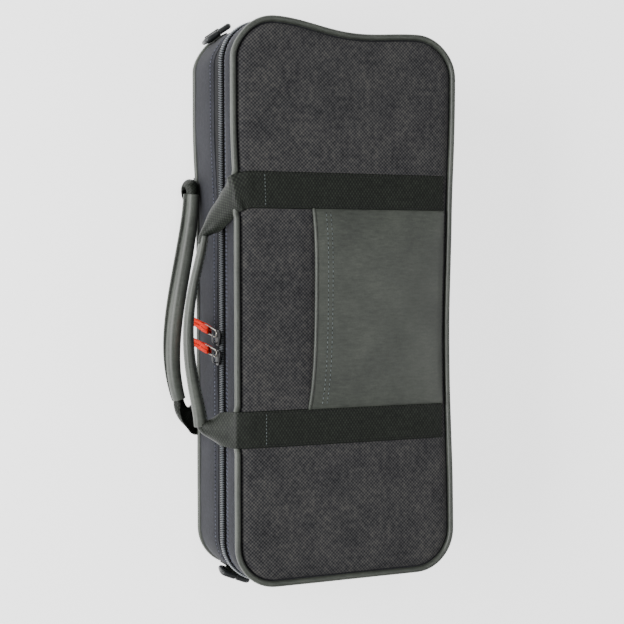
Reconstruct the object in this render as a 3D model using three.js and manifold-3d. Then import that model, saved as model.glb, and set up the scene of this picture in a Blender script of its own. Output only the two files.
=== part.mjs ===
// A soft-sided clarinet case, lying on its back: millimetres, +Z up.
// The case body runs along X, its hinge is on the +Y side and its two carry handles on the -Y side.
// The base holds fitted foam cradles, the lid carries a flat pocket between two webbing straps,
// and a two-slider zip runs round three sides between them.

import * as THREE from 'three';
import { mergeVertices } from 'three/addons/utils/BufferGeometryUtils.js';
import Module from 'manifold-3d';

const wasm = await Module();
wasm.setup();

// Case body
const CASE_LENGTH = 400;
const CASE_WIDTH = 174;
const CORNER_RADIUS = 31;
const SIDE_WAIST_DEPTH = 4.5;
const HEAD_WAIST_DEPTH = 5;
const HEAD_SLANT = 3;
const PIPING_SPACING = 82.7;
const PIPING_RADIUS = 2.1;
const PIPING_GROOVE = 1.3;
const WALL_INSET = 1.7;
const WALL_THICKNESS = 8;
const ZIP_HEIGHT = 59.1;
const GAP = 0.3;

// Panels
const BASE_PANEL_THICKNESS = 3.5;
const LID_PANEL_THICKNESS = 2.9;
const LID_PANEL_RISE = 2;
const PANEL_ROLL_WIDTH = 14;
const PANEL_ROLL_DROP = 2.3;
const LINING_THICKNESS = 1.2;

// Webbing
const WEBBING_WIDTH = 25;
const WEBBING_THICKNESS = 1.4;
const STRAP_CENTRES = [-81, 87];
const STRAP_FAR_MARGIN = 8.1;

// Zip
const ZIP_END_MARGIN = 19;
const ZIP_PART_GAP = 0.4;
const TOOTH_WIDTH = 2.6;
const TOOTH_DEPTH = 2.4;
const TAPE_THICKNESS = 0.9;
const TAPE_REBATE = 1.5;
const BASE_TAPE_WIDTH = 13.1;
const LID_TAPE_WIDTH = 3.6;
const STOP_LENGTH = 2.4;

// Zip sliders and their pulls
const SLIDER_LENGTH = 11.4;
const SLIDER_WIDTH = 8.6;
const SLIDER_THICKNESS = 2.4;
const SLIDER_EDGE_RADIUS = 1.6;
const SLIDER_FLANGE = 1;
const BRIDGE_POST_SPACING = 6.8;
const BRIDGE_POST_THICKNESS = 1.6;
const BRIDGE_WIDTH = 2.4;
const BRIDGE_ROOM = 2.6;
const BRIDGE_WALL = 0.9;
const WIRE_RADIUS = 0.55;
const WIRE_BEND = 2.45;
const WIRE_LENGTH = 14;
const PULL_WIDTH = 6;
const PULL_THICKNESS = 3;
const PULL_LENGTH = 33;
const PULL_TOP = 7.5;
const PULL_LEAN = THREE.MathUtils.degToRad(11);
const SLIDER_A_X = 23.7;
const SLIDER_B_X = 37.7;
const SLIDERS = [
  { letter: 'a', x: SLIDER_A_X, slant: THREE.MathUtils.degToRad(14) },
  { letter: 'b', x: SLIDER_B_X, slant: THREE.MathUtils.degToRad(12) },
];

// Handles
const GRIP_FLANGE_THICKNESS = 1.8;
const GRIP_END_SHARE = 0.86;
const BASE_GRIP = {
  radius: 5.2, flange: 2.8, height: 12, from: [-80.5, 5.2], to: [71, 17], bulge: 7.8,
  leanShare: 1.85, peakShare: 1,
};
const LID_GRIP = {
  radius: 3.8, flange: 1.4, height: 63, from: [-49, 14.7], to: [85.5, 17.7], bulge: 10.8,
  leanShare: 1, peakShare: 1.5,
};

// Shoulder strap loops on the two corners of the handle side
const LOOP_WIDTH = 25;
const LOOP_REACH = 12;
const LOOP_BAR_RADIUS = 2;
const LOOP_OUTER_RADIUS = 2.7;
const LOOP_SLIT = 1.6;
const LOOP_TAB_WIDTH = 12.5;
const LOOP_TAB_LENGTH = 12;
const LOOP_TAB_THICKNESS = 1.1;
const LOOPS = [
  {
    end: 'head', side: -1, height: 10.5,
    angle: THREE.MathUtils.degToRad(35), lean: THREE.MathUtils.degToRad(4),
  },
  {
    end: 'foot', side: 1, height: 26.5,
    angle: THREE.MathUtils.degToRad(22), lean: THREE.MathUtils.degToRad(11),
  },
];

// Pocket on the lid
const POCKET_MOUTH = -27;
const POCKET_MOUTH_FLARE = 3.5;
const POCKET_BULGE = 5.4;
const POCKET_THICKNESS = 1.6;
const BINDING_RADIUS = 1.1;

// Fitted foam in the base: each hollow's size, and its margin to the foam's edge or to its neighbour
const FOAM_TOP = 52;
const BELL_BLOCK_LENGTH = 113;
const WELL_END_MARGIN = 7;
const WELL_SIDE_MARGIN = 7;
const LOWER_JOINT = { radius: 24, height: 35, headMargin: 9 };
const UPPER_JOINT = { radius: 21, height: 33, headMargin: 12 };
const BARREL = { radius: 17, height: 34, length: 68, footMargin: 5 };
const MOUTHPIECE = { radius: 17, height: 34, footMargin: 10, sideMargin: 18 };
const BELL = { rim: 38.6, neck: 20, height: 44.9, footMargin: 6, sideMargin: 10.4 };
const BAY = { width: 28, floor: 12, headMargin: 14, footMargin: 8 };
const BAY_LID_THICKNESS = 3;
const BAY_LID_LEDGE = 2.5;
const BAY_TAB_WIDTH = 14;
const BAY_TAB_REACH = 10;
const BAY_TAB_THICKNESS = 1.2;

// Facets of curved surfaces, and how far cutting solids overrun what they cut
const CORNER_STEPS = 8;
const SIDE_STEPS = 8;
const ROUND_STEPS = 24;
const POCKET_STEPS = 14;
const GRIP_STEPS = 20;
const OVERRUN = 5;

// Heights and insets that follow from the sizes above
const PANEL_UNDERSIDE = WEBBING_THICKNESS + GAP;
const BASE_PIPING_Z = PANEL_UNDERSIDE + PIPING_RADIUS;
const LID_PIPING_Z = BASE_PIPING_Z + PIPING_SPACING;
const LID_TOP = LID_PIPING_Z + LID_PANEL_RISE;
const LID_PANEL_UNDERSIDE = LID_TOP - LID_PANEL_THICKNESS;
const BASE_FLOOR = PANEL_UNDERSIDE + BASE_PANEL_THICKNESS;
const BASE_RIM_TOP = ZIP_HEIGHT - ZIP_PART_GAP / 2;
const LID_RIM_BOTTOM = ZIP_HEIGHT + ZIP_PART_GAP / 2;
const PANEL_INSET = 2 * PIPING_RADIUS + PIPING_GROOVE;
const WALL_INNER_INSET = WALL_INSET + WALL_THICKNESS;
const TAPE_OUTER_INSET = WALL_INSET + TAPE_REBATE - GAP - TAPE_THICKNESS;
const TOOTH_INNER_INSET = TAPE_OUTER_INSET - GAP;
const TOOTH_OUTER_INSET = TOOTH_INNER_INSET - TOOTH_DEPTH;
const HALF_LENGTH = CASE_LENGTH / 2;
const HALF_WIDTH = CASE_WIDTH / 2;
const CORNER_X = HALF_LENGTH - CORNER_RADIUS;
const CORNER_Y = HALF_WIDTH - CORNER_RADIUS;
const EDGE_Y = -HALF_WIDTH;
const ZIP_END = CORNER_X - ZIP_END_MARGIN;

const material = (color, roughness, metalness = 0) =>
  new THREE.MeshStandardMaterial({ color, roughness, metalness });
const finishes = {
  panelCloth: material(0x3a3b40, 0.95),
  sideCloth: material(0x4a4a55, 0.95),
  leatherette: material(0x6a706c, 0.55),
  webbing: material(0x262b26, 0.85),
  zipTape: material(0x2c2e34, 0.9),
  coil: material(0x5a5e60, 0.45),
  blackMetal: material(0x141416, 0.25, 0.8),
  brightWire: material(0xb9b3a8, 0.3, 1),
  pullCord: material(0xf0451f, 0.8),
  blackPlastic: material(0x202224, 0.35),
  plush: material(0x1f2024, 1),
};

// Builds a closed solid from points and triangles, and turns its faces outwards.
function solid(points, triangles) {
  let volume = 0;
  for (const [a, b, c] of triangles) {
    volume += points[a].dot(points[b].clone().cross(points[c]));
  }
  const order = volume < 0 ? triangles.map(([a, b, c]) => [a, c, b]) : triangles;
  const geometry = new THREE.BufferGeometry();
  const values = points.flatMap((p) => [p.x, p.y, p.z]);
  geometry.setAttribute('position', new THREE.Float32BufferAttribute(values, 3));
  geometry.setIndex(order.flat());
  return geometry;
}

// Triangles of a flat outline, each running the way the outline runs.
function capTriangles(outline) {
  const flat = outline.map(([u, v]) => new THREE.Vector2(u, v));
  const sign = Math.sign(THREE.ShapeUtils.area(flat));
  return THREE.ShapeUtils.triangulateShape(flat, []).map(([a, b, c]) => {
    const turned = Math.sign(THREE.ShapeUtils.area([flat[a], flat[b], flat[c]]));
    return turned === sign ? [a, b, c] : [a, c, b];
  });
}

// Skins rows of matching points. An open skin is closed by a cap at each end.
// The outline's second half is split along the other diagonal, so that both faces of a thin strip match.
function skin(rows, outline, closed) {
  const points = rows.flat();
  const width = outline.length;
  const triangles = [];
  const last = closed ? rows.length : rows.length - 1;
  for (let i = 0; i < last; i += 1) {
    const here = i * width;
    const next = ((i + 1) % rows.length) * width;
    for (let j = 0; j < width; j += 1) {
      const k = (j + 1) % width;
      if (j < width / 2) {
        triangles.push([here + j, next + j, next + k], [here + j, next + k, here + k]);
      } else {
        triangles.push([here + j, next + j, here + k], [next + j, next + k, here + k]);
      }
    }
  }
  if (!closed) {
    const end = (rows.length - 1) * width;
    for (const [a, b, c] of capTriangles(outline)) {
      triangles.push([a, b, c], [end + a, end + c, end + b]);
    }
  }
  return solid(points, triangles);
}

// A closed solid between two sheets of points over the unit square.
function sheetSolid(low, high, columns, rows) {
  const points = [];
  for (const sheet of [low, high]) {
    for (let i = 0; i <= columns; i += 1) {
      for (let j = 0; j <= rows; j += 1) points.push(sheet(i / columns, j / rows));
    }
  }
  const size = (columns + 1) * (rows + 1);
  const at = (i, j) => i * (rows + 1) + j;
  const triangles = [];
  for (let i = 0; i < columns; i += 1) {
    for (let j = 0; j < rows; j += 1) {
      const [a, b, c, d] = [at(i, j), at(i + 1, j), at(i + 1, j + 1), at(i, j + 1)];
      triangles.push([a, c, b], [a, d, c], [size + a, size + b, size + c], [size + a, size + c, size + d]);
    }
  }
  const wall = (a, b) => triangles.push([a, b, size + b], [a, size + b, size + a]);
  for (let i = 0; i < columns; i += 1) {
    wall(at(i, 0), at(i + 1, 0));
    wall(at(i + 1, rows), at(i, rows));
  }
  for (let j = 0; j < rows; j += 1) {
    wall(at(columns, j), at(columns, j + 1));
    wall(at(0, j + 1), at(0, j));
  }
  return solid(points, triangles);
}

// The body's outline as stations: a point on the outermost edge and the outward direction there.
// The hinge side and the -X end are drawn in a little at their middles, and that end is slanted:
// it reaches further out at the handle side than at the hinge side.
const bow = (distance, half) => Math.cos((Math.PI / 2) * Math.min(Math.abs(distance / half), 1)) ** 2;
const sideWaist = (x) => SIDE_WAIST_DEPTH * bow(x, CORNER_X);
const headSlant = (y) => HEAD_SLANT * Math.sin((Math.PI / 2) * THREE.MathUtils.clamp(y / CORNER_Y, -1, 1));

function corner(signX, signY, startAngle) {
  return Array.from({ length: CORNER_STEPS + 1 }, (_, i) => {
    const angle = startAngle + (Math.PI / 2) * (i / CORNER_STEPS);
    const [nx, ny] = [Math.cos(angle), Math.sin(angle)];
    const centreX = signX * CORNER_X + (signX < 0 ? headSlant(signY * CORNER_Y) : 0);
    return { x: centreX + CORNER_RADIUS * nx, y: signY * CORNER_Y + CORNER_RADIUS * ny, nx, ny };
  });
}

const between = (steps) => Array.from({ length: steps - 1 }, (_, i) => (i + 1) / steps);

const spineStations = [0, ...between(SIDE_STEPS), 1].map((share) => {
  const x = ZIP_END * (1 - 2 * share);
  return { x, y: HALF_WIDTH - sideWaist(x), nx: 0, ny: 1 };
});
const headStations = between(SIDE_STEPS).map((share) => {
  const y = CORNER_Y * (1 - 2 * share);
  return { x: -HALF_LENGTH + HEAD_WAIST_DEPTH * bow(y, CORNER_Y) + headSlant(y), y, nx: -1, ny: 0 };
});
const zipStations = [
  spineStations.at(-1),
  ...corner(-1, 1, Math.PI / 2),
  ...headStations,
  ...corner(-1, -1, Math.PI),
  ...corner(1, -1, 1.5 * Math.PI),
  ...corner(1, 1, 0),
  spineStations[0],
];
const rimStations = [...spineStations, ...zipStations.slice(1, -1)];

// Carries a section, given as [inset, height] pairs, along stations of the outline.
function band(section, stations = rimStations, closed = true) {
  const rows = stations.map(({ x, y, nx, ny }) =>
    section.map(([inset, z]) => new THREE.Vector3(x - nx * inset, y - ny * inset, z)));
  return skin(rows, section, closed);
}

function rimOutline(inset) {
  return rimStations.map(({ x, y, nx, ny }) => [x - nx * inset, y - ny * inset]);
}

const rectangle = (a, b, c, d) => [[a, c], [b, c], [b, d], [a, d]];

function circle(radius, steps, centre = [0, 0]) {
  return Array.from({ length: steps }, (_, i) => {
    const angle = (2 * Math.PI * i) / steps;
    return [centre[0] + radius * Math.cos(angle), centre[1] + radius * Math.sin(angle)];
  });
}

// A padded panel: a flat back and a face whose rim rolls down towards the piping.
const rollShares = [[0, 1], [0.1, 0.5], [0.3, 0.2], [0.6, 0.05], [1, 0]];
const rollDrop = (inset) => {
  const share = Math.min(Math.max((inset - PANEL_INSET) / PANEL_ROLL_WIDTH, 0), 1);
  const next = rollShares.findIndex(([reach]) => reach >= share);
  const [[u0, v0], [u1, v1]] = [rollShares[Math.max(next - 1, 0)], rollShares[Math.max(next, 1)]];
  return PANEL_ROLL_DROP * THREE.MathUtils.mapLinear(share, u0, u1, v0, v1);
};

function panel(backZ, faceZ) {
  const facing = Math.sign(faceZ - backZ);
  const insets = rollShares.map(([share]) => PANEL_INSET + PANEL_ROLL_WIDTH * share);
  const rings = [
    rimOutline(PANEL_INSET).map(([x, y]) => new THREE.Vector3(x, y, backZ)),
    ...insets.map((inset) =>
      rimOutline(inset).map(([x, y]) => new THREE.Vector3(x, y, faceZ - facing * rollDrop(inset)))),
  ];
  return skin(rings, rimOutline(PANEL_INSET), false);
}

// Booleans
function toManifold(geometry) {
  const bare = geometry.clone();
  bare.deleteAttribute('normal');
  bare.deleteAttribute('uv');
  const merged = mergeVertices(bare, 1e-4);
  return new wasm.Manifold(new wasm.Mesh({
    numProp: 3,
    vertProperties: new Float32Array(merged.attributes.position.array),
    triVerts: new Uint32Array(merged.index.array),
  }));
}

function fromManifold(body) {
  const mesh = body.getMesh();
  const geometry = new THREE.BufferGeometry();
  geometry.setAttribute('position', new THREE.Float32BufferAttribute(mesh.vertProperties, 3));
  geometry.setIndex(Array.from(mesh.triVerts));
  return geometry;
}

function prism(outline, bottom, top) {
  const shape = new THREE.Shape(outline.map(([x, y]) => new THREE.Vector2(x, y)));
  const body = new THREE.ExtrudeGeometry(shape, { depth: top - bottom, bevelEnabled: false });
  return body.translate(0, 0, bottom);
}

// Walls: a stepped band that stands on the panel and beside the piping, thinned where the zip tape lies.
const baseWall = () => band([
  [WALL_INNER_INSET, BASE_FLOOR + GAP],
  [PANEL_INSET, BASE_FLOOR + GAP],
  [PANEL_INSET, BASE_PIPING_Z + PIPING_RADIUS + GAP],
  [WALL_INSET, BASE_PIPING_Z + PIPING_RADIUS + GAP],
  [WALL_INSET, BASE_RIM_TOP - BASE_TAPE_WIDTH - GAP],
  [WALL_INSET + TAPE_REBATE, BASE_RIM_TOP - BASE_TAPE_WIDTH - GAP],
  [WALL_INSET + TAPE_REBATE, BASE_RIM_TOP],
  [WALL_INNER_INSET, BASE_RIM_TOP],
]);

const lidWall = () => band([
  [WALL_INNER_INSET, LID_PANEL_UNDERSIDE - GAP],
  [PANEL_INSET, LID_PANEL_UNDERSIDE - GAP],
  [PANEL_INSET, LID_PIPING_Z - PIPING_RADIUS - GAP],
  [WALL_INSET, LID_PIPING_Z - PIPING_RADIUS - GAP],
  [WALL_INSET, LID_RIM_BOTTOM + LID_TAPE_WIDTH + GAP],
  [WALL_INSET + TAPE_REBATE, LID_RIM_BOTTOM + LID_TAPE_WIDTH + GAP],
  [WALL_INSET + TAPE_REBATE, LID_RIM_BOTTOM],
  [WALL_INNER_INSET, LID_RIM_BOTTOM],
]);

const piping = (z) => band(circle(PIPING_RADIUS, 10, [PIPING_RADIUS, z]));

const lidLining = () => prism(
  rimOutline(WALL_INNER_INSET + GAP),
  LID_PANEL_UNDERSIDE - GAP - LINING_THICKNESS,
  LID_PANEL_UNDERSIDE - GAP,
);

// Zip: one tape and one row of teeth on each half, and the cloth spine that hinges the back.
const tapeInsets = [TAPE_OUTER_INSET, TAPE_OUTER_INSET + TAPE_THICKNESS];
const baseStrip = (stations) =>
  band(rectangle(...tapeInsets, BASE_RIM_TOP - BASE_TAPE_WIDTH, BASE_RIM_TOP), stations, false);
const lidStrip = (stations) =>
  band(rectangle(...tapeInsets, LID_RIM_BOTTOM, LID_RIM_BOTTOM + LID_TAPE_WIDTH), stations, false);

const toothInsets = [TOOTH_OUTER_INSET, TOOTH_INNER_INSET];
const baseTeeth = () =>
  band(rectangle(...toothInsets, BASE_RIM_TOP - TOOTH_WIDTH, BASE_RIM_TOP), zipStations, false);
const lidTeeth = () =>
  band(rectangle(...toothInsets, LID_RIM_BOTTOM, LID_RIM_BOTTOM + TOOTH_WIDTH), zipStations, false);

// A zip station that stands off the next one by a small gap, so that tape and spine don't touch.
const shiftAlong = (station, distance) => ({ ...station, x: station.x + distance });
const spineTrimmed = [
  shiftAlong(spineStations[0], -GAP),
  ...spineStations.slice(1, -1),
  shiftAlong(spineStations.at(-1), GAP),
];

function zipStop(sign) {
  const start = { x: sign * (ZIP_END - GAP), y: HALF_WIDTH - sideWaist(ZIP_END), nx: 0, ny: 1 };
  const section = rectangle(...toothInsets, BASE_RIM_TOP - TOOTH_WIDTH, BASE_RIM_TOP);
  return band(section, [start, shiftAlong(start, -sign * STOP_LENGTH)], false);
}

// Straps sewn across the panels. The lid's strap climbs over the piping at the handle side.
function lidTopAt(x, y) {
  const inset = y > 0 ? HALF_WIDTH - sideWaist(x) - y : HALF_WIDTH + y;
  const onPiping = LID_PIPING_Z + PIPING_RADIUS;
  return inset < PANEL_INSET ? onPiping : LID_TOP - rollDrop(inset);
}

const strapEdgeY = EDGE_Y + GAP;
const farEdgeY = (x) => HALF_WIDTH - sideWaist(x) - STRAP_FAR_MARGIN;
const strapRisesY = EDGE_Y + PANEL_ROLL_WIDTH;

function lidStrapZ(x, y) {
  const lying = lidTopAt(x, Math.max(y, strapRisesY)) + GAP;
  const overPiping = LID_PIPING_Z + PIPING_RADIUS + GAP;
  const climbed = EDGE_Y + PANEL_INSET;
  if (y > strapRisesY) return lying;
  return THREE.MathUtils.mapLinear(Math.max(y, climbed), strapRisesY, climbed, lying, overPiping);
}

// Rows of a lid strap: where each lies along the strap, and its two edges as shares of the webbing's
// width. The head strap turns towards its grip as it comes over the lid's edge.
const footStrapShares = [
  [0, -0.5, 0.5], [0.03, -0.5, 0.5], [0.06, -0.5, 0.5], [0.09, -0.5, 0.5],
  [0.5, -0.5, 0.5], [0.9, -0.5, 0.5], [0.95, -0.5, 0.5], [1, -0.5, 0.5],
];
const headStrapShares = [
  [0, -0.15, 0.56], [0.03, -0.31, 0.47], [0.06, -0.44, 0.46], [0.09, -0.5, 0.48],
  ...footStrapShares.slice(4),
];

function lidStrap(centre, rowShares) {
  const last = rowShares.length - 1;
  const at = (lift) => (u, v) => {
    const [along, from, to] = rowShares[Math.round(v * last)];
    const x = centre + WEBBING_WIDTH * THREE.MathUtils.lerp(from, to, u);
    const y = THREE.MathUtils.lerp(strapEdgeY, farEdgeY(centre), along);
    return new THREE.Vector3(x, y, lidStrapZ(centre, y) + lift);
  };
  return sheetSolid(at(0), at(WEBBING_THICKNESS), 1, last);
}

function baseStrap(centre) {
  return new THREE.BoxGeometry(WEBBING_WIDTH, farEdgeY(centre) - strapEdgeY, WEBBING_THICKNESS)
    .translate(centre, (farEdgeY(centre) + strapEdgeY) / 2, WEBBING_THICKNESS / 2);
}

// Pocket: a leatherette sheet that stands off the lid a little and is open towards the handle side.
const pocketFrom = STRAP_CENTRES[0] + WEBBING_WIDTH / 2 + GAP;
const pocketTo = STRAP_CENTRES[1] - WEBBING_WIDTH / 2 - GAP;
const pocketX = (u) => THREE.MathUtils.lerp(pocketFrom, pocketTo, u);
const mouthY = (u) => POCKET_MOUTH - POCKET_MOUTH_FLARE * u ** 3;
const pocketLift = (u, v) => POCKET_BULGE * (1 - (2 * u - 1) ** 4) * Math.cos((Math.PI / 2) * v) ** 0.6;

function pocketPoint(u, v, lift) {
  const x = pocketX(u);
  const y = THREE.MathUtils.lerp(mouthY(u), farEdgeY(x), v);
  return new THREE.Vector3(x, y, lidTopAt(x, y) + GAP + pocketLift(u, Math.min(v, 1)) + lift);
}

const pocketPanel = () => sheetSolid(
  (u, v) => pocketPoint(u, v, 0),
  (u, v) => pocketPoint(u, v, POCKET_THICKNESS),
  POCKET_STEPS,
  10,
);

function pocketBinding() {
  const outline = circle(BINDING_RADIUS, 8);
  const rows = Array.from({ length: POCKET_STEPS + 1 }, (_, i) => {
    const edge = pocketPoint(i / POCKET_STEPS, 0, BINDING_RADIUS);
    return outline.map(([u, v]) =>
      new THREE.Vector3(edge.x, edge.y - BINDING_RADIUS - GAP + u, edge.z + v));
  });
  return skin(rows, outline, false);
}

// Handles: a leatherette sleeve with a stitched flange, and a webbing tail at each end. A grip bulges
// outwards between its ends. Its lean share moves the bulge's peak towards +X, and its peak share
// makes it narrower.
function gripPoint({ from, to, bulge, height, leanShare, peakShare }, share) {
  const along = THREE.MathUtils.clamp(share, 0, 1) ** leanShare;
  const x = THREE.MathUtils.lerp(from[0], to[0], share);
  const reach = THREE.MathUtils.lerp(from[1], to[1], share) + bulge * (4 * along * (1 - along)) ** peakShare;
  return new THREE.Vector3(x, EDGE_Y - reach, height);
}

function grip(sizes, flangeSide) {
  const flangeAngle = Math.PI / 8;
  const round = Array.from({ length: 12 }, (_, i) => {
    const angle = flangeAngle + ((2 * Math.PI - 2 * flangeAngle) * i) / 11;
    return [sizes.radius * Math.cos(angle), sizes.radius * Math.sin(angle)];
  });
  const tip = sizes.radius + sizes.flange;
  const outline = [...round, [tip, -GRIP_FLANGE_THICKNESS / 2], [tip, GRIP_FLANGE_THICKNESS / 2]];
  const rows = Array.from({ length: GRIP_STEPS + 1 }, (_, i) => {
    const share = i / GRIP_STEPS;
    const centre = gripPoint(sizes, share);
    const ahead = gripPoint(sizes, share + 0.01).sub(gripPoint(sizes, share - 0.01)).normalize();
    const side = new THREE.Vector3(ahead.y, -ahead.x, 0).multiplyScalar(flangeSide);
    const size = THREE.MathUtils.lerp(GRIP_END_SHARE, 1, Math.min(4 * Math.min(share, 1 - share) * 3, 1));
    const up = new THREE.Vector3(0, 0, 1);
    return outline.map(([u, v]) => centre.clone()
      .addScaledVector(side, u * size)
      .addScaledVector(up, v * size));
  });
  return skin(rows, outline, false);
}

// A webbing tail through stations, each with its centre, the way it runs, the way its face looks,
// its width as a share of the webbing's and its layers.
function tail(stations) {
  const outline = [[-0.5, -0.5], [0.5, -0.5], [0.5, 0.5], [-0.5, 0.5]];
  const rows = stations.map(({ centre, run, face, widthShare, layers }) => {
    const along = new THREE.Vector3(...run).normalize();
    const across = along.clone().cross(new THREE.Vector3(...face)).normalize();
    const normal = across.clone().cross(along).normalize();
    return outline.map(([u, v]) => new THREE.Vector3(...centre)
      .addScaledVector(across, u * WEBBING_WIDTH * widthShare)
      .addScaledVector(normal, v * WEBBING_THICKNESS * layers));
  });
  return skin(rows, outline, false);
}

const LID_TAIL_TOP = LID_PIPING_Z + PIPING_RADIUS + GAP + WEBBING_THICKNESS / 2;
const BASE_TAIL_TOP = WEBBING_THICKNESS / 2;
const MOUTH_GAP = GAP + WEBBING_THICKNESS / 2;

// Where a tail ends: just short of the grip's mouth.
function tailEnd(sizes, share) {
  const mouth = gripPoint(sizes, share);
  const inner = gripPoint(sizes, share === 0 ? 0.01 : 0.99);
  const run = inner.sub(mouth).normalize();
  return { centre: mouth.addScaledVector(run, -MOUTH_GAP).toArray(), run: run.toArray() };
}

// Each station's place is three shares: along X of the webbing's width from the strap's middle, outwards of
// the grip end's reach, and of the way in height from the strap to the grip.
function tailThrough(strap, startZ, sizes, endShare, stations, last) {
  const reach = (endShare === 0 ? sizes.from : sizes.to)[1];
  const placed = stations.map(({ placeShares: [along, out, way], ...station }) => ({
    ...station,
    centre: [
      STRAP_CENTRES[strap] + along * WEBBING_WIDTH,
      EDGE_Y - out * reach,
      THREE.MathUtils.lerp(startZ, sizes.height, way),
    ],
  }));
  return tail([...placed, { ...tailEnd(sizes, endShare), ...last }]);
}

const lidTailHead = () => tailThrough(0, LID_TAIL_TOP, LID_GRIP, 0, [
  { placeShares: [0.205, 0, 0], run: [0, -1, 0], face: [0, 0, 1], widthShare: 0.71, layers: 1 },
  {
    placeShares: [0.268, 0.207, 0.079], run: [0.5, -0.8, -0.9],
    face: [0.1, -0.6, 0.8], widthShare: 0.68, layers: 1,
  },
  {
    placeShares: [0.42, 0.386, 0.361], run: [0.45, -0.3, -0.85],
    face: [0.3, -0.83, 0.45], widthShare: 0.62, layers: 1,
  },
  {
    placeShares: [0.62, 0.572, 0.662], run: [0.6, -0.3, -0.65],
    face: [0.25, -0.9, 0.3], widthShare: 0.5, layers: 1.4,
  },
  {
    placeShares: [0.84, 0.786, 0.887], run: [0.85, -0.35, -0.35],
    face: [0.1, -1, 0.2], widthShare: 0.4, layers: 2,
  },
  {
    placeShares: [1.068, 0.945, 0.985], run: [1, -0.3, -0.08],
    face: [0, -1, 0.1], widthShare: 0.3, layers: 2,
  },
], { face: [0, -1, 0], widthShare: 0.27, layers: 2 });

const lidTailFoot = () => tailThrough(1, LID_TAIL_TOP, LID_GRIP, 1, [
  { placeShares: [0, 0, 0], run: [0, -1, 0], face: [0, 0, 1], widthShare: 1, layers: 1 },
  {
    placeShares: [0, 0.184, 0.055], run: [0, -1, -0.9],
    face: [0, -0.7, 0.7], widthShare: 1, layers: 1,
  },
  {
    placeShares: [0.016, 0.437, 0.34], run: [0, -0.35, -1],
    face: [0, -1, 0.3], widthShare: 0.86, layers: 1,
  },
  {
    placeShares: [0.064, 0.7, 0.67], run: [-0.05, -0.35, -1],
    face: [0, -1, 0.3], widthShare: 0.6, layers: 1.5,
  },
  {
    placeShares: [0.12, 0.86, 0.87], run: [-0.5, -0.3, -0.8],
    face: [0, -1, 0], widthShare: 0.34, layers: 2,
  },
], { face: [0, -1, 0], widthShare: 0.27, layers: 2 });

const baseTailHead = () => tailThrough(0, BASE_TAIL_TOP, BASE_GRIP, 0, [
  { placeShares: [0, 0, 0], run: [0, -1, 0], face: [0, 0, -1], widthShare: 1, layers: 1 },
  {
    placeShares: [-0.1, 0.8, 0.09], run: [-0.3, -1, 0.2],
    face: [0, -0.2, -1], widthShare: 0.66, layers: 1,
  },
  {
    placeShares: [-0.3, 1.5, 0.28], run: [-0.9, -0.35, 0.45],
    face: [-0.5, -0.2, -1], widthShare: 0.42, layers: 1.2,
  },
  {
    placeShares: [-0.456, 1.54, 0.646], run: [-0.1, 0, 1],
    face: [-1, 0, 0.1], widthShare: 0.46, layers: 1.6,
  },
  {
    placeShares: [-0.28, 1.2, 0.982], run: [1, 0.1, 0.2],
    face: [-0.2, 0, 1], widthShare: 0.42, layers: 2,
  },
], { face: [0, 0, 1], widthShare: 0.36, layers: 2 });

const baseTailFoot = () => tailThrough(1, BASE_TAIL_TOP, BASE_GRIP, 1, [
  { placeShares: [0, 0, 0], run: [0, -1, 0], face: [0, 0, -1], widthShare: 1, layers: 1 },
  {
    placeShares: [0, 0.25, 0.106], run: [0, -1, 0.3],
    face: [0, -0.3, -1], widthShare: 0.86, layers: 1,
  },
  {
    placeShares: [-0.064, 0.594, 0.416], run: [-0.4, -0.9, 0.5],
    face: [0, -0.2, -1], widthShare: 0.62, layers: 1.4,
  },
  {
    placeShares: [-0.264, 0.88, 0.788], run: [-0.85, -0.5, 0.4],
    face: [0, 0, -1], widthShare: 0.46, layers: 2,
  },
], { face: [0, 0, -1], widthShare: 0.36, layers: 2 });

// Zip slider: a plate over the teeth, a flange under the base's teeth and a bridge for the pull.
// The pull's wire goes round the bridge post nearer the -X end, so it swings about that post.
const SLIDER_INNER_Y = -(HALF_WIDTH - TOOTH_OUTER_INSET) - GAP;
const SLIDER_OUTER_Y = SLIDER_INNER_Y - SLIDER_THICKNESS;
const PIVOT_X = -BRIDGE_POST_SPACING / 2;
const PIVOT_Y = SLIDER_OUTER_Y - BRIDGE_ROOM / 2;

function roundedRectangle(halfX, halfY, radius) {
  const shape = new THREE.Shape();
  shape.moveTo(-halfX + radius, -halfY);
  shape.lineTo(halfX - radius, -halfY);
  shape.absarc(halfX - radius, -halfY + radius, radius, -Math.PI / 2, 0);
  shape.lineTo(halfX, halfY - radius);
  shape.absarc(halfX - radius, halfY - radius, radius, 0, Math.PI / 2);
  shape.lineTo(-halfX + radius, halfY);
  shape.absarc(-halfX + radius, halfY - radius, radius, Math.PI / 2, Math.PI);
  shape.lineTo(-halfX, -halfY + radius);
  shape.absarc(-halfX + radius, -halfY + radius, radius, Math.PI, 1.5 * Math.PI);
  return shape;
}

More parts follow.
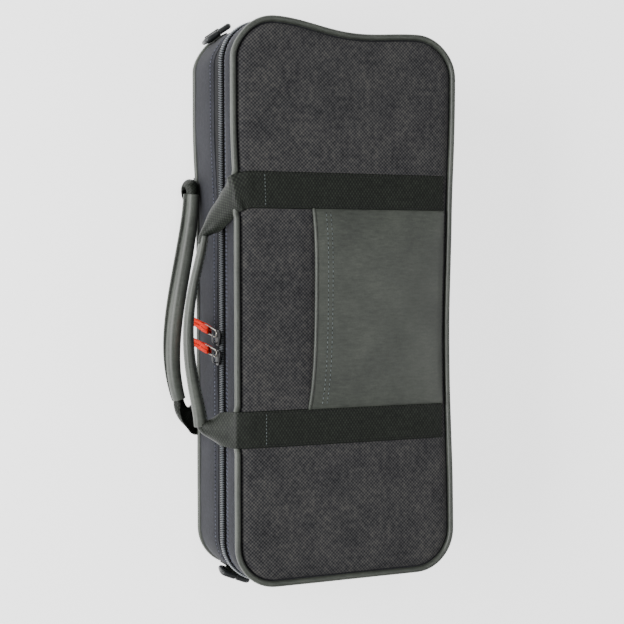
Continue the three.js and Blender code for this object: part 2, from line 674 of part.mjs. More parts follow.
function slider() {
  const plan = roundedRectangle(SLIDER_LENGTH / 2, SLIDER_WIDTH / 2, SLIDER_EDGE_RADIUS);
  const options = { depth: SLIDER_THICKNESS, bevelEnabled: false, curveSegments: 3 };
  const plate = new THREE.ExtrudeGeometry(plan, options);
  plate.rotateX(Math.PI / 2).translate(0, SLIDER_INNER_Y, ZIP_HEIGHT);
  const flangeTop = BASE_RIM_TOP - TOOTH_WIDTH - GAP;
  const flangeBottom = ZIP_HEIGHT - SLIDER_WIDTH / 2;
  const flange = new THREE.BoxGeometry(
    SLIDER_LENGTH - 2 * SLIDER_EDGE_RADIUS,
    SLIDER_FLANGE + SLIDER_THICKNESS / 2,
    flangeTop - flangeBottom,
  ).translate(
    0, SLIDER_INNER_Y + (SLIDER_FLANGE - SLIDER_THICKNESS / 2) / 2, (flangeTop + flangeBottom) / 2,
  );
  const height = BRIDGE_ROOM + BRIDGE_WALL;
  const archLength = BRIDGE_POST_SPACING + BRIDGE_POST_THICKNESS;
  const arch = new THREE.BoxGeometry(archLength, height + BRIDGE_WALL, BRIDGE_WIDTH)
    .translate(0, SLIDER_OUTER_Y - (height - BRIDGE_WALL) / 2, ZIP_HEIGHT);
  const tunnelLength = BRIDGE_POST_SPACING - BRIDGE_POST_THICKNESS;
  const tunnel = new THREE.BoxGeometry(tunnelLength, BRIDGE_ROOM, SLIDER_WIDTH)
    .translate(0, SLIDER_OUTER_Y - BRIDGE_ROOM / 2, ZIP_HEIGHT);
  const bridge = toManifold(arch).subtract(toManifold(tunnel));
  return fromManifold(toManifold(plate).add(toManifold(flange)).add(bridge));
}

// The pull: a wire loop round the bridge post with a doubled cord on its lower bend.
// Both are modelled hanging straight down from the post and are then slanted and leant outwards.
function wireLoop() {
  const arc = (centreZ, start) => Array.from({ length: 9 }, (_, i) => {
    const angle = start + (Math.PI * i) / 8;
    return new THREE.Vector3(WIRE_BEND * Math.cos(angle), 0, centreZ + WIRE_BEND * Math.sin(angle));
  });
  const path = [...arc(0, 0), ...arc(-WIRE_LENGTH, Math.PI)];
  const outline = circle(WIRE_RADIUS, 6);
  const rows = path.map((point, i) => {
    const centreZ = i < 9 ? 0 : -WIRE_LENGTH;
    const across = new THREE.Vector3(point.x, 0, point.z - centreZ).normalize();
    const normal = new THREE.Vector3(0, 1, 0);
    return outline.map(([u, v]) => point.clone().addScaledVector(across, u).addScaledVector(normal, v));
  });
  return skin(rows, outline, true);
}

function pullCord() {
  const length = PULL_LENGTH - PULL_TOP;
  const shape = roundedRectangle(PULL_WIDTH / 2, length / 2, PULL_WIDTH / 3);
  const options = { depth: PULL_THICKNESS, bevelEnabled: false, curveSegments: 3 };
  const body = new THREE.ExtrudeGeometry(shape, options);
  body.rotateX(Math.PI / 2).translate(0, PULL_THICKNESS / 2, -PULL_TOP - length / 2);
  const room = 2 * (WIRE_RADIUS + GAP);
  const reach = WIRE_LENGTH + WIRE_BEND + WIRE_RADIUS + GAP;
  const slot = new THREE.BoxGeometry(PULL_WIDTH + OVERRUN, room, reach - PULL_TOP + OVERRUN)
    .translate(0, 0, -(reach + PULL_TOP - OVERRUN) / 2);
  return fromManifold(toManifold(body).subtract(toManifold(slot)));
}

// Shoulder strap loop: a moulded loop with a slit in its outer bar, held in a webbing tab.
function strapLoop() {
  const outline = circle(1, 8);
  const half = LOOP_WIDTH / 2 - LOOP_OUTER_RADIUS;
  const path = [
    [LOOP_SLIT / 2, LOOP_REACH], [half * 0.7, LOOP_REACH],
    [half * 0.95, LOOP_REACH * 0.93], [half, LOOP_REACH * 0.75],
    [half * 0.96, LOOP_REACH * 0.2], [half * 0.88, LOOP_REACH * 0.05], [half * 0.7, 0],
  ];
  const whole = [...path, ...path.slice().reverse().map(([x, reach]) => [-x, reach])];
  const points = whole.map(([x, reach]) => new THREE.Vector3(x, 0, -reach));
  const rows = points.map((point, i) => {
    const next = points[Math.min(i + 1, points.length - 1)];
    const along = next.clone().sub(points[Math.max(i - 1, 0)]).normalize();
    const normal = new THREE.Vector3(0, 1, 0);
    const across = along.clone().cross(normal).normalize();
    const way = Math.min(-point.z / LOOP_REACH, 1);
    const radius = THREE.MathUtils.lerp(LOOP_BAR_RADIUS, LOOP_OUTER_RADIUS, way);
    return outline.map(([u, v]) => point.clone()
      .addScaledVector(across, u * radius)
      .addScaledVector(normal, v * radius));
  });
  return skin(rows, outline, false);
}

// The tab is drawn in the plane of the outward direction and the height, then extruded across.
// lengthways is -1 where its sewn leg runs down the wall and 1 where it runs up.
const LOOP_EYE_RADIUS = LOOP_BAR_RADIUS + GAP;
const LOOP_SLEEVE_RADIUS = LOOP_EYE_RADIUS + LOOP_TAB_THICKNESS;
const LOOP_STAND_OFF = LOOP_SLEEVE_RADIUS + GAP;

function loopTab(lengthways) {
  const sleeve = circle(LOOP_SLEEVE_RADIUS, 12);
  const legTo = -LOOP_SLEEVE_RADIUS + LOOP_TAB_THICKNESS;
  const leg = rectangle(-LOOP_SLEEVE_RADIUS, legTo, 0, lengthways * LOOP_TAB_LENGTH);
  const body = toManifold(prism(sleeve, 0, LOOP_TAB_WIDTH)).add(toManifold(prism(leg, 0, LOOP_TAB_WIDTH)));
  const eye = toManifold(prism(circle(LOOP_EYE_RADIUS, 12), -OVERRUN, LOOP_TAB_WIDTH + OVERRUN));
  return fromManifold(body.subtract(eye)).translate(0, 0, -LOOP_TAB_WIDTH / 2);
}

// Foam cradles. The foam fills the base inside its walls.
const FOAM_INSET = WALL_INNER_INSET + GAP;
const FOAM_END = HALF_LENGTH - FOAM_INSET;
const FOAM_SIDE = HALF_WIDTH - FOAM_INSET;
const CRADLE_SPLIT = FOAM_END - BELL_BLOCK_LENGTH;
const LOWER_JOINT_Y = -FOAM_SIDE + WELL_SIDE_MARGIN + LOWER_JOINT.radius;
const UPPER_JOINT_Y = LOWER_JOINT_Y + LOWER_JOINT.radius + WELL_SIDE_MARGIN + UPPER_JOINT.radius;
const BARREL_Y = FOAM_SIDE - WELL_SIDE_MARGIN - BARREL.radius;
const BARREL_TO = CRADLE_SPLIT - BARREL.footMargin;
const MOUTHPIECE_Y = FOAM_SIDE - MOUTHPIECE.sideMargin - MOUTHPIECE.radius;
const BELL_Y = -FOAM_SIDE + BELL.sideMargin + BELL.rim;
const BAY_FAR = FOAM_SIDE - WELL_SIDE_MARGIN;
const BAY_NEAR = BAY_FAR - BAY.width;
const BAY_FROM = -FOAM_END + BAY.headMargin;
const BAY_TO = BARREL_TO - BARREL.length - BAY.footMargin;

const foamBlank = () => toManifold(prism(rimOutline(FOAM_INSET), BASE_FLOOR + GAP, FOAM_TOP));
const cuttingBox = (x0, x1, y0, y1, z0, z1) => toManifold(
  new THREE.BoxGeometry(x1 - x0, y1 - y0, z1 - z0).translate((x0 + x1) / 2, (y0 + y1) / 2, (z0 + z1) / 2));

// A well for a round body: a turned hollow below its axis, open straight up above it.
function well(profile, y, height) {
  const [first, last] = [profile[0], profile.at(-1)];
  const closed = [[first[0], 0], ...profile, [last[0], 0]];
  const turned = closed.map(([x, radius]) => new THREE.Vector2(radius, x));
  const hollow = new THREE.LatheGeometry(turned, ROUND_STEPS).rotateZ(-Math.PI / 2).translate(0, y, height);
  const plan = [
    ...profile.map(([x, radius]) => [x, y - radius]),
    ...profile.slice().reverse().map(([x, radius]) => [x, y + radius]),
  ];
  return toManifold(hollow).add(toManifold(prism(plan, height, FOAM_TOP + OVERRUN)));
}

const tubeWell = (from, to, y, { radius, height }) => well([[from, radius], [to, radius]], y, height);
const bellShares = [[0, 1], [0.14, 0.8], [0.35, 0.45], [0.65, 0.15], [1, 0]];
const bellProfile = bellShares.map(([along, flare]) => [
  THREE.MathUtils.lerp(CRADLE_SPLIT + WELL_END_MARGIN, FOAM_END - BELL.footMargin, along),
  THREE.MathUtils.lerp(BELL.neck, BELL.rim, flare),
]);

function jointCradle() {
  const half = cuttingBox(-CASE_LENGTH, CRADLE_SPLIT, -CASE_WIDTH, CASE_WIDTH, 0, CASE_WIDTH);
  const block = foamBlank().intersect(half);
  const bay = cuttingBox(BAY_FROM, BAY_TO, BAY_NEAR, BAY_FAR, BAY.floor, FOAM_TOP + OVERRUN);
  const ledge = cuttingBox(
    BAY_FROM - BAY_LID_LEDGE, BAY_TO + BAY_LID_LEDGE, BAY_NEAR - BAY_LID_LEDGE, BAY_FAR,
    FOAM_TOP - BAY_LID_THICKNESS - GAP, FOAM_TOP + OVERRUN,
  );
  const footEnd = CRADLE_SPLIT - WELL_END_MARGIN;
  const hollows = [
    tubeWell(-FOAM_END + LOWER_JOINT.headMargin, footEnd, LOWER_JOINT_Y, LOWER_JOINT),
    tubeWell(-FOAM_END + UPPER_JOINT.headMargin, footEnd, UPPER_JOINT_Y, UPPER_JOINT),
    tubeWell(BARREL_TO - BARREL.length, BARREL_TO, BARREL_Y, BARREL),
    bay,
    ledge,
  ];
  return fromManifold(hollows.reduce((foam, hollow) => foam.subtract(hollow), block));
}

function bellCradle() {
  const block = foamBlank().intersect(
    cuttingBox(CRADLE_SPLIT + GAP, CASE_LENGTH, -CASE_WIDTH, CASE_WIDTH, 0, CASE_WIDTH));
  const mouthpiece = tubeWell(
    CRADLE_SPLIT + WELL_END_MARGIN, FOAM_END - MOUTHPIECE.footMargin, MOUTHPIECE_Y, MOUTHPIECE);
  return fromManifold(block.subtract(well(bellProfile, BELL_Y, BELL.height)).subtract(mouthpiece));
}

// Accessory bay lid: a covered board on a cloth hinge along its far edge, with a ribbon tab.
const bayLidWidth = BAY.width + BAY_LID_LEDGE - 2 * GAP;
const bayLidLength = BAY_TO - BAY_FROM + 2 * BAY_LID_LEDGE - 2 * GAP;
const bayCentre = (BAY_FROM + BAY_TO) / 2;

const bayLid = () => new THREE.BoxGeometry(bayLidLength, bayLidWidth, BAY_LID_THICKNESS)
  .translate(bayCentre, BAY_FAR - GAP - bayLidWidth / 2, FOAM_TOP - BAY_LID_THICKNESS / 2);

const bayTab = () => new THREE.BoxGeometry(BAY_TAB_WIDTH, BAY_TAB_REACH, BAY_TAB_THICKNESS)
  .translate(bayCentre, BAY_NEAR + BAY_TAB_REACH / 2, FOAM_TOP + GAP + BAY_TAB_THICKNESS / 2);

// The scene graph
const caseGroup = new THREE.Group();

function add(parent, name, geometry, finish) {
  const mesh = new THREE.Mesh(geometry, finish);
  mesh.name = name;
  parent.add(mesh);
  return mesh;
}

const base = new THREE.Group();
const lid = new THREE.Group();
caseGroup.add(base, lid);

add(base, 'base_panel', panel(BASE_FLOOR, PANEL_UNDERSIDE), finishes.panelCloth);
add(base, 'base_wall', baseWall(), finishes.sideCloth);
add(base, 'base_piping', piping(BASE_PIPING_Z), finishes.leatherette);
add(base, 'base_zip_tape', baseStrip(zipStations), finishes.zipTape);
add(base, 'base_zip_teeth', baseTeeth(), finishes.coil);
add(base, 'base_spine', baseStrip(spineTrimmed), finishes.sideCloth);
add(base, 'base_strap_head', baseStrap(STRAP_CENTRES[0]), finishes.webbing);
add(base, 'base_strap_foot', baseStrap(STRAP_CENTRES[1]), finishes.webbing);
add(base, 'zip_stop_head', zipStop(-1), finishes.blackMetal);
add(base, 'zip_stop_foot', zipStop(1), finishes.blackMetal);
add(base, 'joint_cradle', jointCradle(), finishes.plush);
add(base, 'bell_cradle', bellCradle(), finishes.plush);
add(base, 'accessory_lid', bayLid(), finishes.plush);
add(base, 'accessory_tab', bayTab(), finishes.webbing);

add(lid, 'lid_panel', panel(LID_PANEL_UNDERSIDE, LID_TOP), finishes.panelCloth);
add(lid, 'lid_wall', lidWall(), finishes.sideCloth);
add(lid, 'lid_piping', piping(LID_PIPING_Z), finishes.leatherette);
add(lid, 'lid_lining', lidLining(), finishes.plush);
add(lid, 'lid_zip_tape', lidStrip(zipStations), finishes.zipTape);
add(lid, 'lid_zip_teeth', lidTeeth(), finishes.coil);
add(lid, 'lid_spine', lidStrip(spineTrimmed), finishes.sideCloth);
add(lid, 'lid_strap_head', lidStrap(STRAP_CENTRES[0], headStrapShares), finishes.webbing);
add(lid, 'lid_strap_foot', lidStrap(STRAP_CENTRES[1], footStrapShares), finishes.webbing);
add(lid, 'pocket_panel', pocketPanel(), finishes.leatherette);
add(lid, 'pocket_binding', pocketBinding(), finishes.leatherette);

add(base, 'base_grip', grip(BASE_GRIP, 1), finishes.leatherette);
add(base, 'base_tail_head', baseTailHead(), finishes.webbing);
add(base, 'base_tail_foot', baseTailFoot(), finishes.webbing);
add(lid, 'lid_grip', grip(LID_GRIP, -1), finishes.leatherette);
add(lid, 'lid_tail_head', lidTailHead(), finishes.webbing);
add(lid, 'lid_tail_foot', lidTailFoot(), finishes.webbing);

for (const { letter, x, slant } of SLIDERS) {
  const carriage = new THREE.Group();
  carriage.position.x = x;
  base.add(carriage);
  add(carriage, `slider_${letter}`, slider(), finishes.blackMetal);
  const swing = new THREE.Group();
  swing.position.set(PIVOT_X, PIVOT_Y, ZIP_HEIGHT);
  swing.rotation.set(-PULL_LEAN, slant, 0);
  carriage.add(swing);
  add(swing, `pull_wire_${letter}`, wireLoop(), finishes.brightWire);
  add(swing, `pull_cord_${letter}`, pullCord(), finishes.pullCord);
}

// Both loops stand up from their tabs. The tab at the -X corner is sewn above its loop's bar, behind
// the loop, and the one at the +X corner below it.
for (const { end, side, height, angle, lean } of LOOPS) {
  const outwards = new THREE.Vector2(side * Math.cos(angle), -Math.sin(angle));
  const reach = CORNER_RADIUS - WALL_INSET + LOOP_STAND_OFF;
  const cornerX = side * CORNER_X + (side < 0 ? headSlant(-CORNER_Y) : 0);
  const mount = new THREE.Group();
  mount.position.set(cornerX + outwards.x * reach, -CORNER_Y + outwards.y * reach, height);
  mount.rotation.z = Math.atan2(outwards.y, outwards.x);
  base.add(mount);
  const tab = add(mount, `loop_tab_${end}`, loopTab(-side), finishes.webbing);
  tab.rotation.x = Math.PI / 2;
  const loop = add(mount, `strap_loop_${end}`, strapLoop(), finishes.blackPlastic);
  loop.rotation.order = 'ZYX';
  loop.rotation.z = Math.PI / 2;
  loop.rotation.x = Math.PI + lean;
}

// The origin is the middle of the footprint, on the table.
caseGroup.updateMatrixWorld(true);
const extent = new THREE.Box3().setFromObject(caseGroup, true);
const middle = extent.getCenter(new THREE.Vector3());
caseGroup.position.set(-middle.x, -middle.y, -extent.min.z);
caseGroup.updateMatrixWorld(true);

export default caseGroup;
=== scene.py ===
# A soft-sided clarinet case lying flat on its base straps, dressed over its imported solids.
# Shapes are worked out in millimetres in the case's own axes: X along the case, -Y the handle side,
# +Y the hinge side and Z up from the straps that it lies on. piece() moves them into the frame.
import math

import bpy
import numpy as np
from mathutils import Matrix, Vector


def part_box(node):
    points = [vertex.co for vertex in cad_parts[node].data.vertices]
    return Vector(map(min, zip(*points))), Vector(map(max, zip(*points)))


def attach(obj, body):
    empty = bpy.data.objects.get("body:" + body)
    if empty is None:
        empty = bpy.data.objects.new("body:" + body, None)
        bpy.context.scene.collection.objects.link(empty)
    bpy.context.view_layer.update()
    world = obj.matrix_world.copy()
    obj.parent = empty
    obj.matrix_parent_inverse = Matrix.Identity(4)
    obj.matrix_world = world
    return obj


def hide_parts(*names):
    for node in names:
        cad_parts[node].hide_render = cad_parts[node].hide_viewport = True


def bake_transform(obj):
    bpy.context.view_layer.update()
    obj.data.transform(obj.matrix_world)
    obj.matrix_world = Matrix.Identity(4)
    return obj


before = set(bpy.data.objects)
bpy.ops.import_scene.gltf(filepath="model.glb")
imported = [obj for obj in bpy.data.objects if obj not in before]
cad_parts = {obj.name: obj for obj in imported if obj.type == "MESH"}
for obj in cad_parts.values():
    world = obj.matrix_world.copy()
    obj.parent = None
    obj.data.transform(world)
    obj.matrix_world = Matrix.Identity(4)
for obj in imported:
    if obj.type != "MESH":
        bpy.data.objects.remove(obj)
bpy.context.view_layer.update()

# Sizes shared with the solids, in millimetres
CASE_LENGTH = 400
CASE_WIDTH = 174
CORNER_RADIUS = 31
SIDE_WAIST_DEPTH = 4.5
HEAD_WAIST_DEPTH = 5
HEAD_SLANT = 3
PIPING_RADIUS = 2.1
PIPING_GROOVE = 1.3
PANEL_INSET = 2 * PIPING_RADIUS + PIPING_GROOVE
PANEL_ROLL_DROP = 2.3
BASE_PIPING_Z = 3.8
LID_PIPING_Z = 86.5
BASE_FACE = 1.7
BASE_FLOOR = 5.2
LID_TOP = 88.5
LID_UNDERSIDE = 85.6
WALL_INSET = 1.7
WALL_INNER_INSET = 9.7
ZIP_HEIGHT = 59.1
ZIP_END = 150
BASE_RIM_TOP = 58.9
LID_RIM_BOTTOM = 59.3
BASE_TAPE_BOTTOM = 45.8
LID_TAPE_TOP = 62.9
TAPE_INSETS = (2.5, 3.3)
WEBBING_WIDTH = 25
WEBBING_THICKNESS = 1.4
STRAP_CENTRES = (-81, 87)
STRAP_FAR_MARGIN = 8.1
HALF_LENGTH = CASE_LENGTH / 2
HALF_WIDTH = CASE_WIDTH / 2
CORNER_X = HALF_LENGTH - CORNER_RADIUS
CORNER_Y = HALF_WIDTH - CORNER_RADIUS

# How far the soft case has settled out of the solids' shape, and where along it
FLARE_START, FLARE_RISE, FLARE_STOP, FLARE_FALL = 60, 75, 172, 22
FLARE_FAR, FLARE_NEAR = 1.0, 2.4
BACK_FILL, BACK_FILL_X, BACK_FILL_REACH = 1.7, -35, 62
ZIP_STIFF_HALF, ZIP_STIFF_FADE = 4.5, 12

low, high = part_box("base_piping")
CENTRE = np.array([(low.x + high.x) / 2 * 1000 + HEAD_SLANT / 2, (low.y + high.y) / 2 * 1000, 0.0])


# Surfaces

def unit(vectors):
    """Vectors scaled to length one."""
    return vectors / np.maximum(np.linalg.norm(vectors, axis=-1, keepdims=True), 1e-12)


def arc(points):
    """Length along a row of points, from zero."""
    return np.concatenate([[0], np.cumsum(np.linalg.norm(np.diff(points, axis=0), axis=-1))])


def wrap(values, axis=0):
    """The values with the first one again at the end, so that a ring closes exactly."""
    return np.concatenate([values, np.take(values, [0], axis)], axis)


def shell(points, uv):
    """A grid of points as welded faces. Points in one place become one vertex, faces with two corners in one
    place become triangles, and narrower ones vanish. The faces are turned so that the volume is positive."""
    rows, columns = points.shape[:2]
    flat = points.reshape(-1, 3)
    _, first, weld = np.unique(np.round(flat * 5e3).astype(np.int64), axis=0, return_index=True, return_inverse=True)
    weld = weld.reshape(-1)
    at = np.arange(rows * columns).reshape(rows, columns)
    corners = np.stack([at[:-1, :-1], at[1:, :-1], at[1:, 1:], at[:-1, 1:]], -1).reshape(-1, 4)
    ids = weld[corners]
    joined = ids == np.roll(ids, -1, axis=1)
    folded = (ids[:, 0] == ids[:, 2]) | (ids[:, 1] == ids[:, 3])
    whole = ~joined.any(1) & ~folded
    pinched = (joined.sum(1) == 1) & ~folded
    quads, triangles = corners[whole], corners[pinched][~joined[pinched]].reshape(-1, 3)
    verts = flat[first]
    uv = np.broadcast_to(uv, points.shape[:2] + (2,)).reshape(-1, 2)
    made = {"verts": verts, "quads": weld[quads], "quad_uv": uv[quads],
            "triangles": weld[triangles], "triangle_uv": uv[triangles]}
    q, t = made["quads"], made["triangles"]
    parts = [(q[:, 0], q[:, 1], q[:, 2]), (q[:, 0], q[:, 2], q[:, 3]), (t[:, 0], t[:, 1], t[:, 2])]
    volume = sum(np.einsum("ij,ij->", verts[a], np.cross(verts[b], verts[c])) for a, b, c in parts)
    if volume < 0:
        for key in ("quads", "quad_uv", "triangles", "triangle_uv"):
            made[key] = made[key][:, ::-1]
    return made


def capped(points):
    """Rows of closed sections with each end's middle as one more row, which closes that end."""
    first, last = (np.broadcast_to(points[k, :-1].mean(0), points[k].shape)[None] for k in (0, -1))
    return np.concatenate([first, points, last])


def unrolled(length, around):
    """UV places in real size: the length along a run, and the length round its section."""
    return np.stack(np.broadcast_arrays(length[:, None], around[None]), -1)


def copies(made, places, along, up):
    """The shell repeated at each place, with its X turned along and its Z as near to up as that allows."""
    along = unit(np.broadcast_to(along, places.shape))
    side = unit(np.cross(np.broadcast_to(up, places.shape), along))
    turn = np.stack([along, side, np.cross(along, side)], -2)
    verts = np.einsum("vk,nkj->nvj", made["verts"], turn) + places[:, None]
    shift = np.arange(len(places)) * len(made["verts"])
    repeated = {"verts": verts.reshape(-1, 3)}
    for key, size in (("quads", 4), ("triangles", 3)):
        repeated[key] = (made[key][None] + shift[:, None, None]).reshape(-1, size)
    for key, size in (("quad_uv", 4), ("triangle_uv", 3)):
        repeated[key] = np.tile(made[key], (len(places), 1, 1))
    return repeated


def join(shells):
    """Several shells as one."""
    shift = np.cumsum([0] + [len(s["verts"]) for s in shells])
    joined = {key: np.concatenate([s[key] for s in shells]) for key in ("verts", "quad_uv", "triangle_uv")}
    for key in ("quads", "triangles"):
        joined[key] = np.concatenate([s[key] + start for s, start in zip(shells, shift)])
    return joined


def smooth(t):
    """Rises from 0 to 1 with level ends."""
    t = np.clip(t, 0, 1)
    return t * t * (3 - 2 * t)


def settle(verts):
    """How the soft case has settled since it was sewn: near the head its long sides flare out, and its back's
    waist has filled. Each is a smooth hump along the case that grows from the middle towards its side. The zip
    is stiff and stays straight, so that its sliders run on it: the near flare fades out towards its height."""
    x, y, z = verts.T
    head = smooth((-x - FLARE_START) / FLARE_RISE) * (1 - smooth((-x - FLARE_STOP) / FLARE_FALL))
    back = np.exp(-((x - BACK_FILL_X) / BACK_FILL_REACH) ** 2)
    off_zip = smooth((np.abs(z - ZIP_HEIGHT) - ZIP_STIFF_HALF) / ZIP_STIFF_FADE)
    near, far = smooth(-y / HALF_WIDTH) * off_zip, smooth(y / HALF_WIDTH)
    return verts + np.stack([0 * x, BACK_FILL * back * far + head * (FLARE_FAR * far - FLARE_NEAR * near), 0 * x], -1)


def piece(name, shells, material, body, replaces=(), sharp=40):
    """Makes the Blender object of one piece, in metres in the frame, riding on its body."""
    made = join(shells if isinstance(shells, (list, tuple)) else [shells])
    mesh = bpy.data.meshes.new(name)
    verts = (settle(made["verts"]) + CENTRE) * 0.001
    corners = np.concatenate([made["quads"].reshape(-1), made["triangles"].reshape(-1)])
    sizes = np.concatenate([np.full(len(made["quads"]), 4), np.full(len(made["triangles"]), 3)])
    uv = np.concatenate([made["quad_uv"].reshape(-1, 2), made["triangle_uv"].reshape(-1, 2)]) * 0.001
    mesh.vertices.add(len(verts))
    mesh.vertices.foreach_set("co", verts.astype(np.float32).ravel())
    mesh.loops.add(len(corners))
    mesh.loops.foreach_set("vertex_index", corners.astype(np.int32))
    mesh.polygons.add(len(sizes))
    mesh.polygons.foreach_set("loop_start", (np.cumsum(sizes) - sizes).astype(np.int32))
    mesh.uv_layers.new(name="UVMap").data.foreach_set("uv", uv.astype(np.float32).ravel())
    mesh.update(calc_edges=True)
    mesh.validate()
    mesh.shade_smooth()
    mesh.set_sharp_from_angle(angle=math.radians(sharp))
    mesh.materials.append(material)
    made_object = bpy.data.objects.new(name, mesh)
    bpy.context.scene.collection.objects.link(made_object)
    if body:
        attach(made_object, body)
    if replaces:
        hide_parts(*replaces)
    return made_object


def ripple(u, v, length, phase=0.0):
    """A smooth unevenness from -1 to 1: five waves of nearly the same length that run in different directions."""
    total = 0
    for k in range(5):
        angle = 2.4 * k + phase
        stretch = length * (1 + 0.23 * k)
        total = total + np.sin(2 * np.pi * (u * np.cos(angle) + v * np.sin(angle)) / stretch + 1.7 * k * k + phase)
    return total / 5


def spline(keys, count):
    """A smooth row through key rows: cubic pieces whose slope at each key is the mean of its neighbours'."""
    keys = np.asarray(keys, float)
    slopes = np.gradient(keys, axis=0)
    at = np.linspace(0, len(keys) - 1, count)
    i = np.minimum(at.astype(int), len(keys) - 2)
    t = (at - i)[:, None]
    a, b, c, d = keys[i], keys[i + 1], slopes[i], slopes[i + 1]
    return a * (1 - t) ** 2 * (1 + 2 * t) + b * t ** 2 * (3 - 2 * t) + c * t * (1 - t) ** 2 - d * t ** 2 * (1 - t)


def domed(size, depth, steps=3):
    """Shares for a rounded end: how far a ring lies beyond the end, and its size there, from the tip inwards."""
    angle = np.linspace(0, np.pi / 2, steps + 1)[:-1]
    return depth * np.cos(angle), size * np.sin(angle)


def sweep(path, section, up, size=None, dome=1.0, closed=False):
    """Carries a closed section along a path. A point is the path plus side times u plus lift times v, where
    lift leans as near to up as the path allows. Open sweeps end in domes as deep as dome."""
    path = np.asarray(path, float)
    size = np.ones(len(path)) if size is None else np.asarray(size, float)
    section = np.broadcast_to(section, (len(path),) + np.shape(section)[-2:])
    up = np.broadcast_to(up, path.shape)
    if closed:
        along = unit(np.roll(path, -1, 0) - np.roll(path, 1, 0))
    else:
        along = unit(np.gradient(path, axis=0))
    length = arc(path)
    if closed:
        path, along, section, size, up = (wrap(a) for a in (path, along, section, size, up))
        length = arc(path)
    else:
        far, small = domed(1, dome)
        first, last = len(small), len(path) - 1
        path = np.concatenate([path[:1] - along[:1] * far[:, None], path, path[last:] + along[last:] * far[::-1, None]])
        size = np.concatenate([size[0] * small, size, size[last] * small[::-1]])
        ends = [0] * first + list(range(last + 1)) + [last] * first
        along, section, up = along[ends], section[ends], up[ends]
        length = arc(path)
    side = unit(np.cross(along, up))
    lift = np.cross(side, along)
    u, v = section[..., 0:1] * size[:, None, None], section[..., 1:2] * size[:, None, None]
    points = path[:, None] + side[:, None] * u + lift[:, None] * v
    return shell(points, unrolled(length, arc(section[len(section) // 2])))


def ring(radius, steps, flat=1.0):
    """A closed circle of points, squeezed along v to a share of its height."""
    angle = np.linspace(0, 2 * np.pi, steps + 1)[:-1]
    return wrap(np.stack([radius * np.cos(angle), radius * flat * np.sin(angle)], -1))


def rounded_box(size, radius, steps=3):
    """A box with rounded edges, about the origin: each point is a corner of the box less the radius, plus the
    radius along the direction from a globe's grid, whose rings and columns are doubled at the eight corners."""
    half = np.asarray(size, float) / 2 - radius
    quarter = np.linspace(0, np.pi / 2, steps + 1)
    turn = np.concatenate([quarter + np.pi / 2 * k for k in range(4)])
    corner = np.repeat(np.array([[1, 1], [-1, 1], [-1, -1], [1, -1]]), steps + 1, axis=0)
    rise = np.concatenate([quarter - np.pi / 2, quarter])
    level = np.repeat([-1, 1], steps + 1)
    x = corner[None, :, 0] * half[0] + radius * np.cos(rise)[:, None] * np.cos(turn)[None]
    y = corner[None, :, 1] * half[1] + radius * np.cos(rise)[:, None] * np.sin(turn)[None]
    z = np.broadcast_to(level[:, None] * half[2] + radius * np.sin(rise)[:, None], x.shape)
    rings = wrap(np.stack([x, y, z], -1), axis=1)
    middle = np.broadcast_to([[[0, 0, 1.0]]], (1,) + rings.shape[1:]) * (half[2] + radius)
    points = np.concatenate([-middle, rings, middle])
    return shell(points, points[..., :2])


def moved(made, place=(0, 0, 0), turn=None):
    """A shell turned by a matrix and then moved."""
    verts = made["verts"] if turn is None else made["verts"] @ np.asarray(turn).T
    return {**made, "verts": verts + np.asarray(place, float)}


def spin(axis, degrees):
    """The matrix that turns about an axis, by Rodrigues' formula."""
    x, y, z = unit(np.asarray(axis, float))
    a = math.radians(degrees)
    cross = np.array([[0, -z, y], [z, 0, -x], [-y, x, 0]])
    return np.eye(3) + math.sin(a) * cross + (1 - math.cos(a)) * cross @ cross


# The case's outline

def bow(distance, half):
    """A soft bulge: the squared cosine of the distance's share of a half length."""
    return np.cos(np.pi / 2 * np.clip(np.abs(distance / half), 0, 1)) ** 2


def side_waist(x):
    """How far the hinge side is drawn in at a place along the case."""
    return SIDE_WAIST_DEPTH * bow(x, CORNER_X)


def head_slant(y):
    """How far the head end is shifted along the case: it reaches further out at the handle side."""
    return HEAD_SLANT * np.sin(np.pi / 2 * np.clip(y / CORNER_Y, -1, 1))


SIDE_STEPS, SPINE_STEPS, END_STEPS, CORNER_STEPS = 8, 130, 40, 16
SKELETON_X = 112


